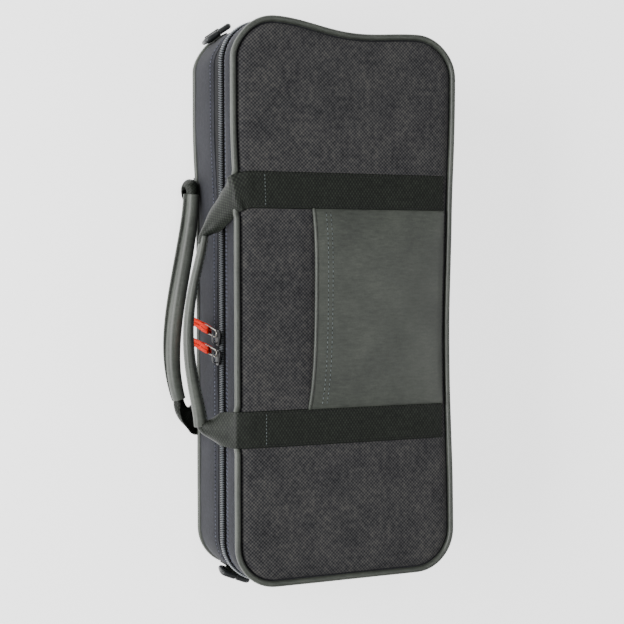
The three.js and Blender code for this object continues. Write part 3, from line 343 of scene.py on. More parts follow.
def outline():
    """The rim as a closed ring, anticlockwise from the hinge side's +X end: long sides and short ends with their
    waists, joined by quarter circles. Also each point's place on the panel's middle line, and the spine's mask."""
    nominal = np.concatenate([np.linspace(CORNER_X, ZIP_END, SIDE_STEPS)[:-1],
                              np.linspace(ZIP_END, -ZIP_END, SPINE_STEPS),
                              np.linspace(-ZIP_END, -CORNER_X, SIDE_STEPS)[1:]])

    def stretched(shift):
        end = np.clip((-nominal - ZIP_END) / (CORNER_X - ZIP_END), 0, 1)
        return nominal + end * shift

    def corner(sign_x, sign_y, start):
        angle = start + np.linspace(0, np.pi / 2, CORNER_STEPS + 1)[1:-1]
        x = sign_x * CORNER_X + (head_slant(sign_y * CORNER_Y) if sign_x < 0 else 0)
        return np.stack([x + CORNER_RADIUS * np.cos(angle), sign_y * CORNER_Y + CORNER_RADIUS * np.sin(angle)], -1)

    hinge_x = stretched(HEAD_SLANT)
    hinge = np.stack([hinge_x, HALF_WIDTH - side_waist(hinge_x)], -1)
    end_y = np.linspace(CORNER_Y, -CORNER_Y, END_STEPS)
    head = np.stack([-HALF_LENGTH + HEAD_WAIST_DEPTH * bow(end_y, CORNER_Y) + head_slant(end_y), end_y], -1)
    handle = np.stack([stretched(-HEAD_SLANT)[::-1], np.full(len(nominal), -HALF_WIDTH)], -1)
    foot = np.stack([np.full(END_STEPS, HALF_LENGTH), end_y[::-1]], -1)
    runs = [hinge, corner(-1, 1, np.pi / 2), head, corner(-1, -1, np.pi), handle, corner(1, -1, 1.5 * np.pi), foot,
            corner(1, 1, 0)]
    at = np.concatenate(runs)
    inner = nominal * SKELETON_X / CORNER_X
    middles = [inner, *[np.full(len(r), -SKELETON_X) for r in runs[1:4]], inner[::-1],
               *[np.full(len(r), SKELETON_X) for r in runs[5:]]]
    middle = np.stack([np.concatenate(middles), np.zeros(len(at))], -1)
    tangent = unit(np.roll(at, -1, 0) - np.roll(at, 1, 0))
    out = np.stack([tangent[:, 1], -tangent[:, 0]], -1)
    spine = np.zeros(len(at), bool)
    spine[SIDE_STEPS - 1:SIDE_STEPS - 1 + SPINE_STEPS] = True
    return at, out, middle, spine


RIM, RIM_OUT, RIM_MIDDLE, IN_SPINE = outline()
spine_from, spine_to = np.flatnonzero(IN_SPINE)[[0, -1]]
WHOLE = np.concatenate([np.arange(len(RIM)), [0]])
SPINE = np.arange(spine_from, spine_to + 1)
ZIP = np.concatenate([np.arange(spine_to, len(RIM)), np.arange(0, spine_from + 1)])


def inset_at(x, y):
    """How far a point lies inside the outline: the distance field of a rounded rectangle with waists."""
    half_x = np.where(x < 0, HALF_LENGTH - HEAD_WAIST_DEPTH * bow(y, CORNER_Y) - head_slant(y), HALF_LENGTH)
    half_y = np.where(y > 0, HALF_WIDTH - side_waist(x), HALF_WIDTH)
    qx, qy = np.abs(x) - (half_x - CORNER_RADIUS), np.abs(y) - (half_y - CORNER_RADIUS)
    return CORNER_RADIUS - np.hypot(np.maximum(qx, 0), np.maximum(qy, 0)) - np.minimum(np.maximum(qx, qy), 0)


def band(insets, heights, stations=WHOLE):
    """Carries a closed section round the rim: a point is the rim less its outward direction times an inset, at a
    height. A band that doesn't go all the way round closes on its section's middle at each end."""
    insets, heights = (np.broadcast_to(a, (len(stations), np.shape(a)[-1])) for a in (insets, heights))
    flat = RIM[stations][:, None] - RIM_OUT[stations][:, None] * insets[..., None]
    points = np.concatenate([flat, heights[..., None]], -1)
    length = arc(RIM[stations])
    half = len(stations) // 2
    around = arc(np.stack([insets[half], heights[half]], -1))
    if stations[0] != stations[-1]:
        points = capped(points)
        length = np.concatenate([length[:1], length, length[-1:]])
    return shell(points, unrolled(length, around))


# Materials

def linear(hex_colour):
    """An sRGB hex colour as the linear values that shaders take."""
    parts = [((hex_colour >> shift) & 255) / 255 for shift in (16, 8, 0)]
    return [p / 12.92 if p <= 0.04045 else ((p + 0.055) / 1.055) ** 2.4 for p in parts] + [1.0]


def add(tree, kind, inputs=(), out=0, to=None, stops=(), **settings):
    """Adds a node with its settings, sets or links its inputs, and gives back one of its outputs. Inputs go by
    place, or by name in a dictionary. Stops are a colour ramp's places and hex colours. The output is also linked
    to a socket if one is given."""
    node = tree.nodes.new("ShaderNode" + kind)
    for name, value in settings.items():
        setattr(node, name, value)
    for key, value in inputs.items() if isinstance(inputs, dict) else enumerate(inputs):
        if isinstance(value, bpy.types.NodeSocket):
            tree.links.new(value, node.inputs[key])
        else:
            node.inputs[key].default_value = value
    for spare in stops[2:]:
        node.color_ramp.elements.new(spare[0])
    for k, (place, colour) in enumerate(stops):
        node.color_ramp.elements[k].position = place
        node.color_ramp.elements[k].color = linear(colour)
    if to is not None:
        tree.links.new(node.outputs[out], to)
    return node.outputs[out]


def start(name, colour=None, **values):
    """A material with one shader, whose plain values are set on the shader's own sockets."""
    material = bpy.data.materials.new(name)
    material.use_nodes = True
    shader = material.node_tree.nodes["Principled BSDF"]
    for key, value in values.items():
        shader.inputs[key.replace("_", " ").title().replace("Ior", "IOR")].default_value = value
    if colour is not None:
        shader.inputs["Base Color"].default_value = linear(colour)
    return material, material.node_tree, shader


def woven(name, tones, pitches, depth, turn=0, wander=0.3, mottle=0.2, **values):
    """Cloth: a weave as the product of two sines along and across it, whose bumps stand in diagonal rows, over
    yarns that vary from one to the next and a soft mottle. Its colour follows the bumps' height, so their crowns
    are painted lighter and the hollows darker: painted highlight and shade. Pitches are in millimetres."""
    material, tree, shader = start(name, **values)
    where = add(tree, "TexCoord", out="UV")
    turned = add(tree, "VectorRotate", {"Vector": where, "Angle": math.radians(turn)}, rotation_type="Z_AXIS")
    waves = add(tree, "Mapping", {"Vector": turned, "Scale": [2000 * math.pi / p for p in pitches] + [1]})
    x, y, _ = add(tree, "SeparateXYZ", [waves]).node.outputs
    crossed = add(tree, "Math", [add(tree, "Math", [x], operation="SINE"), add(tree, "Math", [y], operation="SINE")],
                  operation="MULTIPLY")
    yarn = add(tree, "TexNoise", {"Vector": where, "Scale": 1000 / (1.3 * pitches[0]), "Detail": 2.0})
    cloud = add(tree, "TexNoise", {"Vector": where, "Scale": 1000 / 26, "Detail": 3.0})
    uneven = add(tree, "MapRange", [yarn, 0.3, 0.7, 0.5 - wander / 2, 0.5 + wander / 2])
    raised = add(tree, "Math", [crossed, 0.3, uneven], operation="MULTIPLY_ADD")
    soiled = add(tree, "MapRange", [cloud, 0.3, 0.7, -mottle / 2, mottle / 2])
    # The ramp takes the bumps' height: pale crowns and dark hollows are painted highlight and shade, over the yarns'
    # and the mottle's own tones.
    add(tree, "ValToRGB", [add(tree, "Math", [raised, soiled])], to=shader.inputs["Base Color"], stops=tones)
    add(tree, "Bump", {"Height": raised, "Distance": depth * 0.001}, to=shader.inputs["Normal"])
    return material


# Charcoal canvas of doubled polyester yarns over foam: dull, with pale specks where a yarn comes up,
# which are painted highlight on the yarns' crowns.
# The real yarns lie about 0.8 mm apart. They are drawn at 1.3 mm so that they show.
CANVAS = {"Roughness": 0.9, "IOR": 1.45, "specular_ior_level": 0.25, "sheen_weight": 0.06, "sheen_roughness": 0.5}
panel_cloth = woven("charcoal_canvas", [(0.1, 0x19191C), (0.5, 0x38383A), (0.95, 0x5B5955)], (2.6, 2.6), 0.16, **CANVAS)

# The same canvas in a purple-grey dye on the sides, a little finer.
side_cloth = woven("purple_grey_canvas", [(0.1, 0x0D0E13), (0.5, 0x1C1D23), (0.95, 0x303138)], (2.4, 2.4), 0.14,
                   **CANVAS)

# Zip tape: tight flat weave of thin polyester yarns, so it is smoother and darker than the canvas.
zip_tape_cloth = woven("zip_tape_weave", [(0.1, 0x040506), (0.5, 0x0B0C0F), (0.9, 0x191B20)], (1.1, 1.1), 0.06,
                       Roughness=0.8, IOR=1.45, specular_ior_level=0.3)

# Polypropylene webbing: flat smooth yarns in a herringbone, so it is near black face on and paler where it rolls
# over. The real picks lie about 1.1 mm apart. They are drawn at 1.2 mm across and 1.7 mm along so that they show.
webbing = woven("green_black_webbing", [(0.15, 0x080A08), (0.55, 0x1C201B), (0.95, 0x363B33)], (2.4, 3.4), 0.2,
                0, 0.2, 0.1, Roughness=0.45, IOR=1.49, specular_ior_level=0.22)

# Ribbed polyester cord in red-orange: braided, so small ribs slant round each strand, with painted shade
# making it darker between them.
pull_braid = woven("red_orange_cord", [(0.15, 0x7A0A00), (0.5, 0xC81C02), (0.9, 0xE02E05)], (1.8, 2.4), 0.3,
                   30, 0.15, 0.1, Roughness=0.7, IOR=1.5, specular_ior_level=0.15)


def uneven(name, tones, size, depth, stretch=1, **values):
    """A plain stuff whose colour and surface vary a little: noise of a size in millimetres, which may be drawn
    out along X."""
    material, tree, shader = start(name, **values)
    where = add(tree, "Mapping", {"Vector": add(tree, "TexCoord", out="Object"), "Scale": (1 / stretch, 1, 1)})
    grain = add(tree, "TexNoise", {"Vector": where, "Scale": 1000 / size, "Detail": 4.0, "Roughness": 0.6})
    add(tree, "ValToRGB", [grain], to=shader.inputs["Base Color"], stops=tones)
    add(tree, "Bump", {"Height": grain, "Distance": depth * 0.001}, to=shader.inputs["Normal"])
    return material


def leatherette_finish(name, tones):
    """Artificial leather: a polyurethane skin cast on release paper, so a fine grain runs lengthways under a
    soft broken gloss."""
    material, tree, shader = start(name, IOR=1.5, coat_weight=0.1, coat_roughness=0.4)
    where = add(tree, "TexCoord", out="Object")
    drawn = add(tree, "Mapping", {"Vector": where, "Scale": (1, 0.25, 1)})
    streak = add(tree, "TexNoise", {"Vector": drawn, "Scale": 1000 / 1.6, "Detail": 4.0, "Roughness": 0.6})
    pebble = add(tree, "TexVoronoi", {"Vector": where, "Scale": 1000 / 1.2}, feature="SMOOTH_F1")
    cloud = add(tree, "TexNoise", {"Vector": where, "Scale": 1000 / 30, "Detail": 3.0})
    grain = add(tree, "Math", [pebble, 0.3, streak], operation="MULTIPLY_ADD")
    tone = add(tree, "Math", [cloud, 0.5, add(tree, "Math", [grain, 0.5], operation="MULTIPLY")],
               operation="MULTIPLY_ADD")
    add(tree, "ValToRGB", [tone], to=shader.inputs["Base Color"], stops=tones)
    add(tree, "MapRange", [streak, 0.3, 0.7, 0.38, 0.52], to=shader.inputs["Roughness"])
    add(tree, "Bump", {"Height": grain, "Distance": 0.00008}, to=shader.inputs["Normal"])
    return material


# Grey-green artificial leather of the grips, pocket and piping.
leatherette = leatherette_finish("grey_green_leatherette", [(0.35, 0x363935), (0.6, 0x474B45), (0.85, 0x585C54)])

# Bonded polyester sewing thread: twisted, so light and dark run along each stitch.
blue_grey_thread, green_grey_thread, dark_thread = (
    uneven(name, [(0.35, dark), (0.7, light)], 1.2, 0.1, Roughness=0.6, IOR=1.5) for name, dark, light in (
        ("blue_grey_thread", 0x3A3D4C, 0x757A92), ("green_grey_thread", 0x4A5252, 0x859090),
        ("dark_thread", 0x0A0B0A, 0x1C1F1C)))

# Needle holes: nothing is lit inside them, so near-black capsules stand there as painted shade, which read as
# black dots beside each stitch.
needle_hole_shade, _, _ = start("needle_hole_shade", 0x060706, Roughness=0.9, IOR=1.45)

# Nylon coil: extruded monofilament, pressed into turns. Smooth, with a narrow highlight on each turn from its gloss.
# Its grey is painted lighter than the dark nylon, as painted highlight, so that each turn reads as a bright dot.
coil = uneven("nylon_coil", [(0.3, 0x4A4E52), (0.7, 0x70757A)], 4, 0.05, Roughness=0.3, IOR=1.53)

# Filler cord inside the coil: dull polyester, painted near black as painted shade in the gaps between the
# coil's turns.
coil_filler_shade, _, _ = start("coil_filler_shade", 0x060708, Roughness=0.85, IOR=1.5, specular_ior_level=0.3)

# Black enamelled zinc: a die casting under half-glossy paint, slightly uneven, so its edges catch highlights.
enamel = uneven("black_enamelled_zinc", [(0.45, 0x060707), (0.8, 0x151618)], 2.5, 0.03, Roughness=0.3, IOR=1.5,
                specular_ior_level=0.35)

# Nickel-plated steel wire: drawn, so its shine is a little brushed along it.
wire = uneven("nickel_plated_wire", [(0.3, 0x77726A), (0.7, 0xA8A49C)], 0.6, 0.02, 8, Roughness=0.24, Metallic=1.0)

# Glass-filled nylon: injection moulded in an etched tool, so it is near black with a fine satin texture.
moulded_nylon = uneven("moulded_nylon", [(0.3, 0x1A1C1D), (0.7, 0x2C2F30)], 0.8, 0.06, Roughness=0.42, IOR=1.53)


def plush_finish(name, tones):
    """Short knitted plush: a nap about 1 mm deep that brushes into patches. Its colour follows its bumps, so low
    patches are painted darker: painted shade for nap that leans away from the light.
    """
    material, tree, shader = start(name, Roughness=1.0, IOR=1.45, sheen_weight=0.5, sheen_roughness=0.4)
    where = add(tree, "TexCoord", out="Object")
    nap = add(tree, "TexNoise", {"Vector": where, "Scale": 1000 / 1.3, "Detail": 3.0})
    brushed = add(tree, "TexNoise", {"Vector": where, "Scale": 1000 / 24, "Detail": 2.0})
    height = add(tree, "Math", [brushed, 0.45, add(tree, "Math", [nap, 0.6], operation="MULTIPLY")],
                 operation="MULTIPLY_ADD")
    # Colour from the nap's height: the darker low patches are painted shade.
    add(tree, "ValToRGB", [height], to=shader.inputs["Base Color"], stops=tones)
    add(tree, "Bump", {"Height": height, "Distance": 0.0006}, to=shader.inputs["Normal"])
    return material


plush = plush_finish("black_plush", [(0.3, 0x0A0A0C), (0.7, 0x222328)])


# Stitches

def stitch_shape(length, thick):
    """One stitch: a capsule along X, fat in the middle and sunk at both ends."""
    along = np.array([-0.5, -0.36, 0, 0.36, 0.5]) * length
    fat = np.array([0, 0.75, 1, 0.75, 0]) * thick / 2
    sunk = np.array([-0.5, -0.15, 0.2, -0.15, -0.5]) * thick
    around = ring(1, 6)
    points = np.stack(np.broadcast_arrays(
        along[:, None], fat[:, None] * around[None, :, 0], sunk[:, None] + fat[:, None] * around[None, :, 1]), -1)
    return shell(points, points[..., :2])


def along_path(path, pitch, offset=0.5):
    """Places at an even pitch along a path, with the share of the row of points that each is at."""
    length = arc(path)
    count = max(int(length[-1] / pitch), 1)
    wanted = (np.arange(count) + offset) * length[-1] / count
    return np.interp(wanted, length, np.arange(len(path)))


def pick(rows, share):
    """Values between rows at fractional row numbers."""
    i = np.clip(share.astype(int), 0, len(rows) - 2)
    t = (share - i)[:, None]
    return rows[i] * (1 - t) + rows[i + 1] * t


def seam(path, normal, pitch, thick=0.5, filled=0.66):
    """A row of stitches along a path on a surface, and between them dark capsules: painted shade in the needle holes.
    """
    normal = np.broadcast_to(normal, path.shape)
    tangent = np.gradient(path, axis=0)
    share = along_path(path, pitch)
    stitches = copies(stitch_shape(pitch * filled, thick), pick(path, share), pick(tangent, share), pick(normal, share))
    share = along_path(path, pitch, 0.0)
    # Near-black capsules sunk between the stitches: painted shade in the needle holes.
    hole_shades = copies(stitch_shape(pitch * 0.32, thick), pick(path, share) - 0.12 * pick(normal, share),
                   pick(tangent, share), pick(normal, share))
    return stitches, hole_shades


def sew(name, seams, thread, body):
    """The stitches of some seams as one piece of thread, and the painted shade of their needle holes as another."""
    piece(name + "_stitches", [s for s, _ in seams], thread, body)
    piece(name + "_needle_hole_shade", [h for _, h in seams], needle_hole_shade, body)


# Panels, piping and walls

def roll(inset):
    """How far a panel's face has rolled down at an inset: it falls off as an exponential from the rim."""
    return PANEL_ROLL_DROP * np.exp(-np.maximum(inset - PANEL_INSET, 0) / 2.9)


STRAP_PRESS, PIPING_PRESS = 0.55, 2.2


def under_strap(x, y):
    """1 where a strap presses on the lid and 0 away from it, with soft shoulders."""
    reach = smooth((79.5 - y) / 3)
    return sum(reach * (1 - smooth((np.abs(x - centre) - 10.5) / 5)) for centre in STRAP_CENTRES)


def lid_height(x, y):
    """The lid's cloth: the flat top less the rim's roll and the straps' press, and a little unevenness."""
    pressed = LID_TOP - roll(inset_at(x, y)) - STRAP_PRESS * under_strap(x, y)
    return pressed + 0.16 * ripple(x, y, 70) + 0.05 * ripple(x, y, 17, 1)


def panel(face, edge, back):
    """A padded panel in rows from its back's middle line to the rim and on to its face's middle line. Rows near
    the rim are insets of the outline, and rows further in run from there to the middle line in even shares."""
    insets = PANEL_INSET + np.array([0, 0.15, 0.5, 1, 1.8, 3, 4.6, 7, 10, 14])
    stations = WHOLE

    def at(inset, share=0.0):
        return (RIM[stations] - RIM_OUT[stations] * inset) * (1 - share) + RIM_MIDDLE[stations] * share

    inner = [at(insets[-1], s) for s in np.linspace(0, 1, 16)[1:]]
    rows = [at(PANEL_INSET, 1.0), at(PANEL_INSET)]
    heights = [np.full(len(stations), back)] * 2
    for points in [at(inset) for inset in insets] + inner:
        rows.append(points)
        heights.append(face(points[:, 0], points[:, 1]))
    heights[1] = np.full(len(stations), edge)
    points = np.concatenate([np.array(rows), np.array(heights)[..., None]], -1)
    return shell(points, points[..., :2])


def base_face(x, y):
    """The underside's cloth: flat, with less of a roll than the lid's and a little unevenness."""
    return BASE_FACE + roll(inset_at(x, y)) * 0.7 + 0.08 * (1 + ripple(x, y, 60))


lid_cloth = piece("lid_panel_cloth", panel(lid_height, LID_UNDERSIDE, LID_UNDERSIDE), panel_cloth, "lid",
                  ["lid_panel"])
base_cloth = piece("base_panel_cloth", panel(base_face, BASE_FLOOR, BASE_FLOOR), panel_cloth, "base",
                   ["base_panel"])


def strap_sink(x):
    """How far the lid's piping is pressed down where a strap crosses it, at the handle side."""
    return sum(1 - smooth((np.abs(x - centre - lean) - 12.5) / 4) for centre, lean in zip(STRAP_CENTRES, (3, 0)))


def piping(height, pressed):
    """A cord in leatherette: a round welt with a slight waver, and a tongue that runs into the seam."""
    angle = np.linspace(-0.62, 2 * np.pi - 1.1, 15)
    insets = np.concatenate([PIPING_RADIUS * (1 + np.cos(angle)), [5.6, 5.6]])
    lifts = np.concatenate([PIPING_RADIUS * np.sin(angle), [-1.9, -1.3]]) * (1 if pressed else -1)
    at = RIM[WHOLE]
    sink = pressed * PIPING_PRESS * strap_sink(at[:, 0]) * (at[:, 1] < -CORNER_Y)
    waver = 0.12 * ripple(at[:, 0], at[:, 1], 46)
    waver[-1] = waver[0]
    insets = wrap(insets)[None] + waver[:, None]
    lifts = wrap(lifts)[None] + height - sink[:, None]
    return band(insets, lifts)


WALL_BULGE = 0.9
piece("lid_piping_welt", piping(LID_PIPING_Z, True), leatherette, "lid", ["lid_piping"])
piece("base_piping_welt", piping(BASE_PIPING_Z, False), leatherette, "base", ["base_piping"])


def wall_face(low, high, height):
    """A wall's inset at a height: it bulges between its seam and its hem as a power of a sine."""
    return WALL_INSET - WALL_BULGE * np.sin(np.pi * (height - low) / (high - low)) ** 0.7


def wall_section(low, high, hem_at_top, samples=14):
    """A wall's cloth: the outer face from its seam to a rolled hem, then back up inside, as insets and heights."""
    share = np.linspace(0, 1, samples)
    heights = low + (high - low) * share
    outer = WALL_INSET - WALL_BULGE * np.sin(np.pi * share) ** 0.7
    hem_share = share if hem_at_top else 1 - share
    outer = outer + 0.5 * smooth((hem_share - 0.86) / 0.1)
    inner = np.full(samples, WALL_INSET + 2.2)
    return np.concatenate([outer, inner[::-1]]), np.concatenate([heights, heights[::-1]])


def wall_cloth(low, high, hem_at_top, pucker_height):
    """A wall's outer cloth carried round the case, puckered by its hem's stitches and softly dented."""
    insets, heights = wall_section(low, high, hem_at_top)
    at = RIM[WHOLE]
    length = arc(at)
    total = length[-1]
    near = np.exp(-((heights[None] - pucker_height) / 2.5) ** 2)
    pucker = 0.12 * np.cos(2 * np.pi * np.round(total / 8.7) * length / total)[:, None] * near
    dents = 0.3 * ripple(at[:, 0][:, None] + heights[None], at[:, 1][:, None] - heights[None], 55)
    shaped = insets[None] + pucker + dents * (insets < WALL_INSET + 1)[None]
    shaped[-1] = shaped[0]
    return band(wrap(shaped, 1), wrap(np.broadcast_to(heights, shaped.shape), 1))


def wall_plush(low, high):
    """The plush inside a wall, from the panel to the zip, with a rounded top edge."""
    insets = np.array([4.2, WALL_INNER_INSET - 0.6, WALL_INNER_INSET, WALL_INNER_INSET, WALL_INNER_INSET - 0.7, 4.2])
    heights = np.array([low, low, low + 0.6, high - 0.7, high, high])
    return band(wrap(insets), wrap(heights))


BASE_SEAM, BASE_HEM, LID_HEM, LID_SEAM = 6.2, 45.4, 63.3, 84.1
BASE_STITCHING, LID_STITCHINGS, HEM_STITCH = 41, (66, 69), 2.9
piece("base_wall_cloth", wall_cloth(BASE_SEAM, BASE_HEM, True, BASE_STITCHING), side_cloth, "base",
      ["base_wall"])
piece("base_wall_plush", wall_plush(5.5, BASE_RIM_TOP - 0.4), plush, "base", ["base_wall"])
piece("lid_wall_cloth", wall_cloth(LID_HEM, LID_SEAM, False, 67), side_cloth, "lid", ["lid_wall"])
piece("lid_wall_plush", wall_plush(LID_RIM_BOTTOM + 0.4, 85.3), plush, "lid", ["lid_wall"])


def rim_seam(height, inset, pitch):
    """A seam round the whole case at one height."""
    flat = RIM[WHOLE] - RIM_OUT[WHOLE] * inset
    path = np.concatenate([flat, np.full((len(flat), 1), height)], -1)
    normal = np.concatenate([RIM_OUT[WHOLE], np.zeros((len(flat), 1))], -1)
    return seam(path, normal, pitch, 0.5)


sew("base_hem", [rim_seam(BASE_STITCHING, wall_face(BASE_SEAM, BASE_HEM, BASE_STITCHING), HEM_STITCH)],
    blue_grey_thread, "base")
sew("lid_hem", [rim_seam(z, wall_face(LID_HEM, LID_SEAM, z), HEM_STITCH) for z in LID_STITCHINGS], blue_grey_thread,
    "lid")


# Zip

def strip(low, high, stations, insets=TAPE_INSETS):
    """A thin woven strip round the case with rounded long edges."""
    near, far = insets
    mid = (near + far) / 2
    return band(wrap(np.array([near + 0.1, near, near, near + 0.1, mid, far - 0.1, far, far, far - 0.1, mid])),
                wrap(np.array([low + 0.05, low + 0.3, high - 0.3, high - 0.05, high, high - 0.05, high - 0.3,
                               low + 0.3, low + 0.05, low])), stations)


piece("base_tape", strip(BASE_TAPE_BOTTOM - 2, BASE_RIM_TOP, ZIP), zip_tape_cloth, "base",
      ["base_zip_tape"])
piece("lid_tape", strip(LID_RIM_BOTTOM, LID_TAPE_TOP + 1.6, ZIP), zip_tape_cloth, "lid", ["lid_zip_tape"])

TOOTH_PITCH = 1.65


def tooth_shape():
    """One turn of the coil seen from outside: a bead that stands across the zip, deeper than it is wide, which
    swells from a narrow tail to its head."""
    along = np.array([-0.5, -0.45, -0.2, 0.25, 0.45, 0.5]) * 3.0
    fat = np.array([0, 0.7, 0.85, 1, 0.8, 0])
    around = ring(1, 8)
    points = np.stack(np.broadcast_arrays(
        along[:, None], 0.42 * fat[:, None] * around[None, :, 0], fat[:, None] * around[None, :, 1]), -1)
    return shell(points, points[..., :2])


def coil_row(centre_height, head_up, offset):
    """The coil of one half: turns at an even pitch, set half a pitch off the other half's."""
    flat = RIM[ZIP] - RIM_OUT[ZIP] * 0.2
    path = np.concatenate([flat, np.full((len(flat), 1), centre_height)], -1)
    out = np.concatenate([RIM_OUT[ZIP], np.zeros((len(flat), 1))], -1)
    share = along_path(path, TOOTH_PITCH, offset)
    places = pick(path, share)
    across = np.broadcast_to([0, 0, 1.0 if head_up else -1.0], places.shape)
    return copies(tooth_shape(), places, across, pick(out, share))


piece("base_coil", coil_row(57.6, True, 0.25), coil, "base", ["base_zip_teeth"])
piece("lid_coil", coil_row(60.6, False, 0.75), coil, "lid", ["lid_zip_teeth"])
# The near-black cords under the coils are painted shade in the gaps between the turns.
piece("base_coil_cord", strip(56.5, 58.8, ZIP, (0.6, 2.3)), coil_filler_shade, "base")
piece("lid_coil_cord", strip(59.4, 61.7, ZIP, (0.6, 2.3)), coil_filler_shade, "lid")


def spine():
    """The cloth hinge along the back: one strip from the base's hem to the lid's."""
    heights = np.linspace(BASE_TAPE_BOTTOM - 1.5, LID_TAPE_TOP + 1.2, 24)
    crease = 0.5 * np.exp(-((heights - ZIP_HEIGHT) / 1.6) ** 2)
    outer, inner = 1.0 + crease, 2.1 + crease
    return band(wrap(np.concatenate([outer, inner[::-1]])), wrap(np.concatenate([heights, heights[::-1]])), SPINE[1:-1])


spine_cloth = piece("spine_cloth", spine(), side_cloth, None, ["base_spine", "lid_spine"])
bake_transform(spine_cloth)


def stop(sign):
    """A crimped stop at the end of the zip."""
    x = sign * (ZIP_END - 1.5)
    return moved(rounded_box((2.4, 2.3, 3.4), 0.7), (x, HALF_WIDTH - side_waist(ZIP_END) - 0.1, 57.8))


for end, sign in (("head", -1), ("foot", 1)):
    piece("zip_stop_crimp_" + end, stop(sign), enamel, "base", ["zip_stop_" + end])


# Webbing straps and the tails that run on from them into the grips

def webbing_section(width, curl, samples=15):
    """Webbing across: an arc as long as the webbing is wide, which curls from flat towards a tube, with its
    thickness on the inner side and rounded selvedges."""
    thickness = WEBBING_THICKNESS
    u = np.linspace(-0.5, 0.5, samples)
    curl = max(curl, 1e-3)
    radius = width / curl

    def at(u, depth):
        angle = curl * u
        return np.stack([(radius - depth) * np.sin(angle), depth + (radius - depth) * (1 - np.cos(angle))], -1)

    edge = 0.5 + 0.35 * thickness / width
    return wrap(np.concatenate([at(u, 0), at(np.array([edge]), thickness / 2), at(u[::-1], thickness),
                                at(np.array([-edge]), thickness / 2)]))


def webbing_run(keys, count):
    """A length of webbing through key rows of centre, run, face, width and curl. The centre is the middle of the
    outer face. Across is run times face, and the section's depth goes against the face."""
    rows = spline([[*centre, *run, *face, width, curl] for centre, run, face, width, curl in keys], count)
    centre, run, face = rows[:, 0:3], unit(rows[:, 3:6]), rows[:, 6:9]
    across = unit(np.cross(run, face))
    out = np.cross(across, run)
    sections = np.stack([webbing_section(width, curl) for width, curl in rows[:, 9:11]])
    return centre, across, out, sections


def webbing_shell(centre, across, out, sections):
    """The sections set out along the run: a point is the centre plus across times u less out times v."""
    points = centre[:, None] + across[:, None] * sections[..., 0:1] - out[:, None] * sections[..., 1:2]
    uv = unrolled(arc(centre), arc(sections[0]))
    return shell(capped(points), np.concatenate([uv[:1], uv, uv[-1:]]))


def edge_seams(centre, across, out, sections, rows, raised=0.1, pitch=2.6, edge=1.3):
    """Two seams just inside the long edges of a flat stretch of webbing."""
    half = sections[rows, 0, 0][:, None]
    return [seam(centre[rows] + across[rows] * (half + edge) * sign + out[rows] * raised, out[rows], pitch, 0.42)
            for sign in (-1, 1)]


def far_edge(x):
    """Where the straps and the pocket end, short of the hinge side."""
    return HALF_WIDTH - side_waist(x) - STRAP_FAR_MARGIN


WIDTH = WEBBING_WIDTH


def lid_strap_keys(centre, turned):
    """The strap over the lid, from its far end to the handle side, where it rolls over the pressed piping."""
    keys = []
    for y in (far_edge(centre) - 0.5, 60, 30, 0, -30, -55, -66, -72):
        z = float(lid_height(np.array(centre), np.array(y))) + WEBBING_THICKNESS
        keys.append(((centre, y, z), (0, -1, 0), (0, 0, 1), WIDTH, 0.02))
    shift = 1 if turned else 0
    keys += [
        ((centre + 0.3 * shift, -77, 89.2), (0.02 * shift, -1, -0.1), (0, -0.08, 1), WIDTH, 0.05),
        ((centre + 1.4 * shift, -81.6, 88.7), (0.2 * shift, -1, -0.18), (0, -0.18, 1), WIDTH, 0.15),
        ((centre + 3.0 * shift, -85.6, 87.8), (0.4 * shift, -0.9, -0.45), (0, -0.45, 0.9), WIDTH, 0.2),
        ((centre + 5.4 * shift, -88.4, 85.4), (0.5 * shift, -0.6, -0.8), (-0.05 * shift, -0.75, 0.66),
         WIDTH - 1.5 * shift, 0.8 * shift + 0.2),
    ]
    return keys


LID_HEAD_TAIL = [
    ((-71.4, -91.0, 80.6), (0.62, -0.5, -0.6), (-0.1, -0.78, 0.6), 23, 1.4),
    ((-66.4, -94.2, 75.4), (0.62, -0.45, -0.65), (-0.1, -0.82, 0.55), 22.5, 1.7),
    ((-61.6, -97.2, 70.4), (0.65, -0.4, -0.6), (-0.05, -0.87, 0.48), 22.5, 2.0),
    ((-56.9, -100.0, 66.4), (0.8, -0.35, -0.45), (0, -0.95, 0.32), 22, 2.8),
    ((-52.8, -102.9, 64.4), (1, -0.3, -0.2), (0, -0.98, 0.18), 20, 4.4),
    ((-49.4, -104.6, 63.3), (1, -0.2, -0.05), (0, -1, 0.05), 18, 5.9),
    ((-46.5, -105.0, 63.1), (1, -0.15, 0), (0, -1, 0), 17, 6.2),
    ((-43.5, -105.4, 63.0), (1, -0.15, 0), (0, -1, 0), 16.5, 6.2),
]
LID_FOOT_TAIL = [
    ((87.0, -92.2, 81.2), (0, -0.65, -0.85), (0, -0.8, 0.6), 25, 0.7),
    ((87.2, -96.3, 76.0), (0.02, -0.55, -0.85), (0, -0.85, 0.5), 24.5, 1.2),
    ((87.8, -100.2, 70.6), (0.03, -0.5, -0.85), (0, -0.93, 0.35), 22.5, 2.3),
    ((88.2, -104.4, 66.0), (-0.35, -0.5, -0.7), (0.15, -0.95, 0.2), 20.5, 3.5),
    ((85.4, -107.4, 63.5), (-0.95, -0.25, -0.2), (0, -1, 0.05), 18.5, 5.0),
    ((80.6, -108.2, 63.0), (-1, -0.1, 0), (0, -1, 0), 17.5, 6.1),
    ((75.6, -108.7, 63.0), (-1, -0.1, 0), (0, -1, 0), 17, 6.2),
]


TACK_Y = -64.3


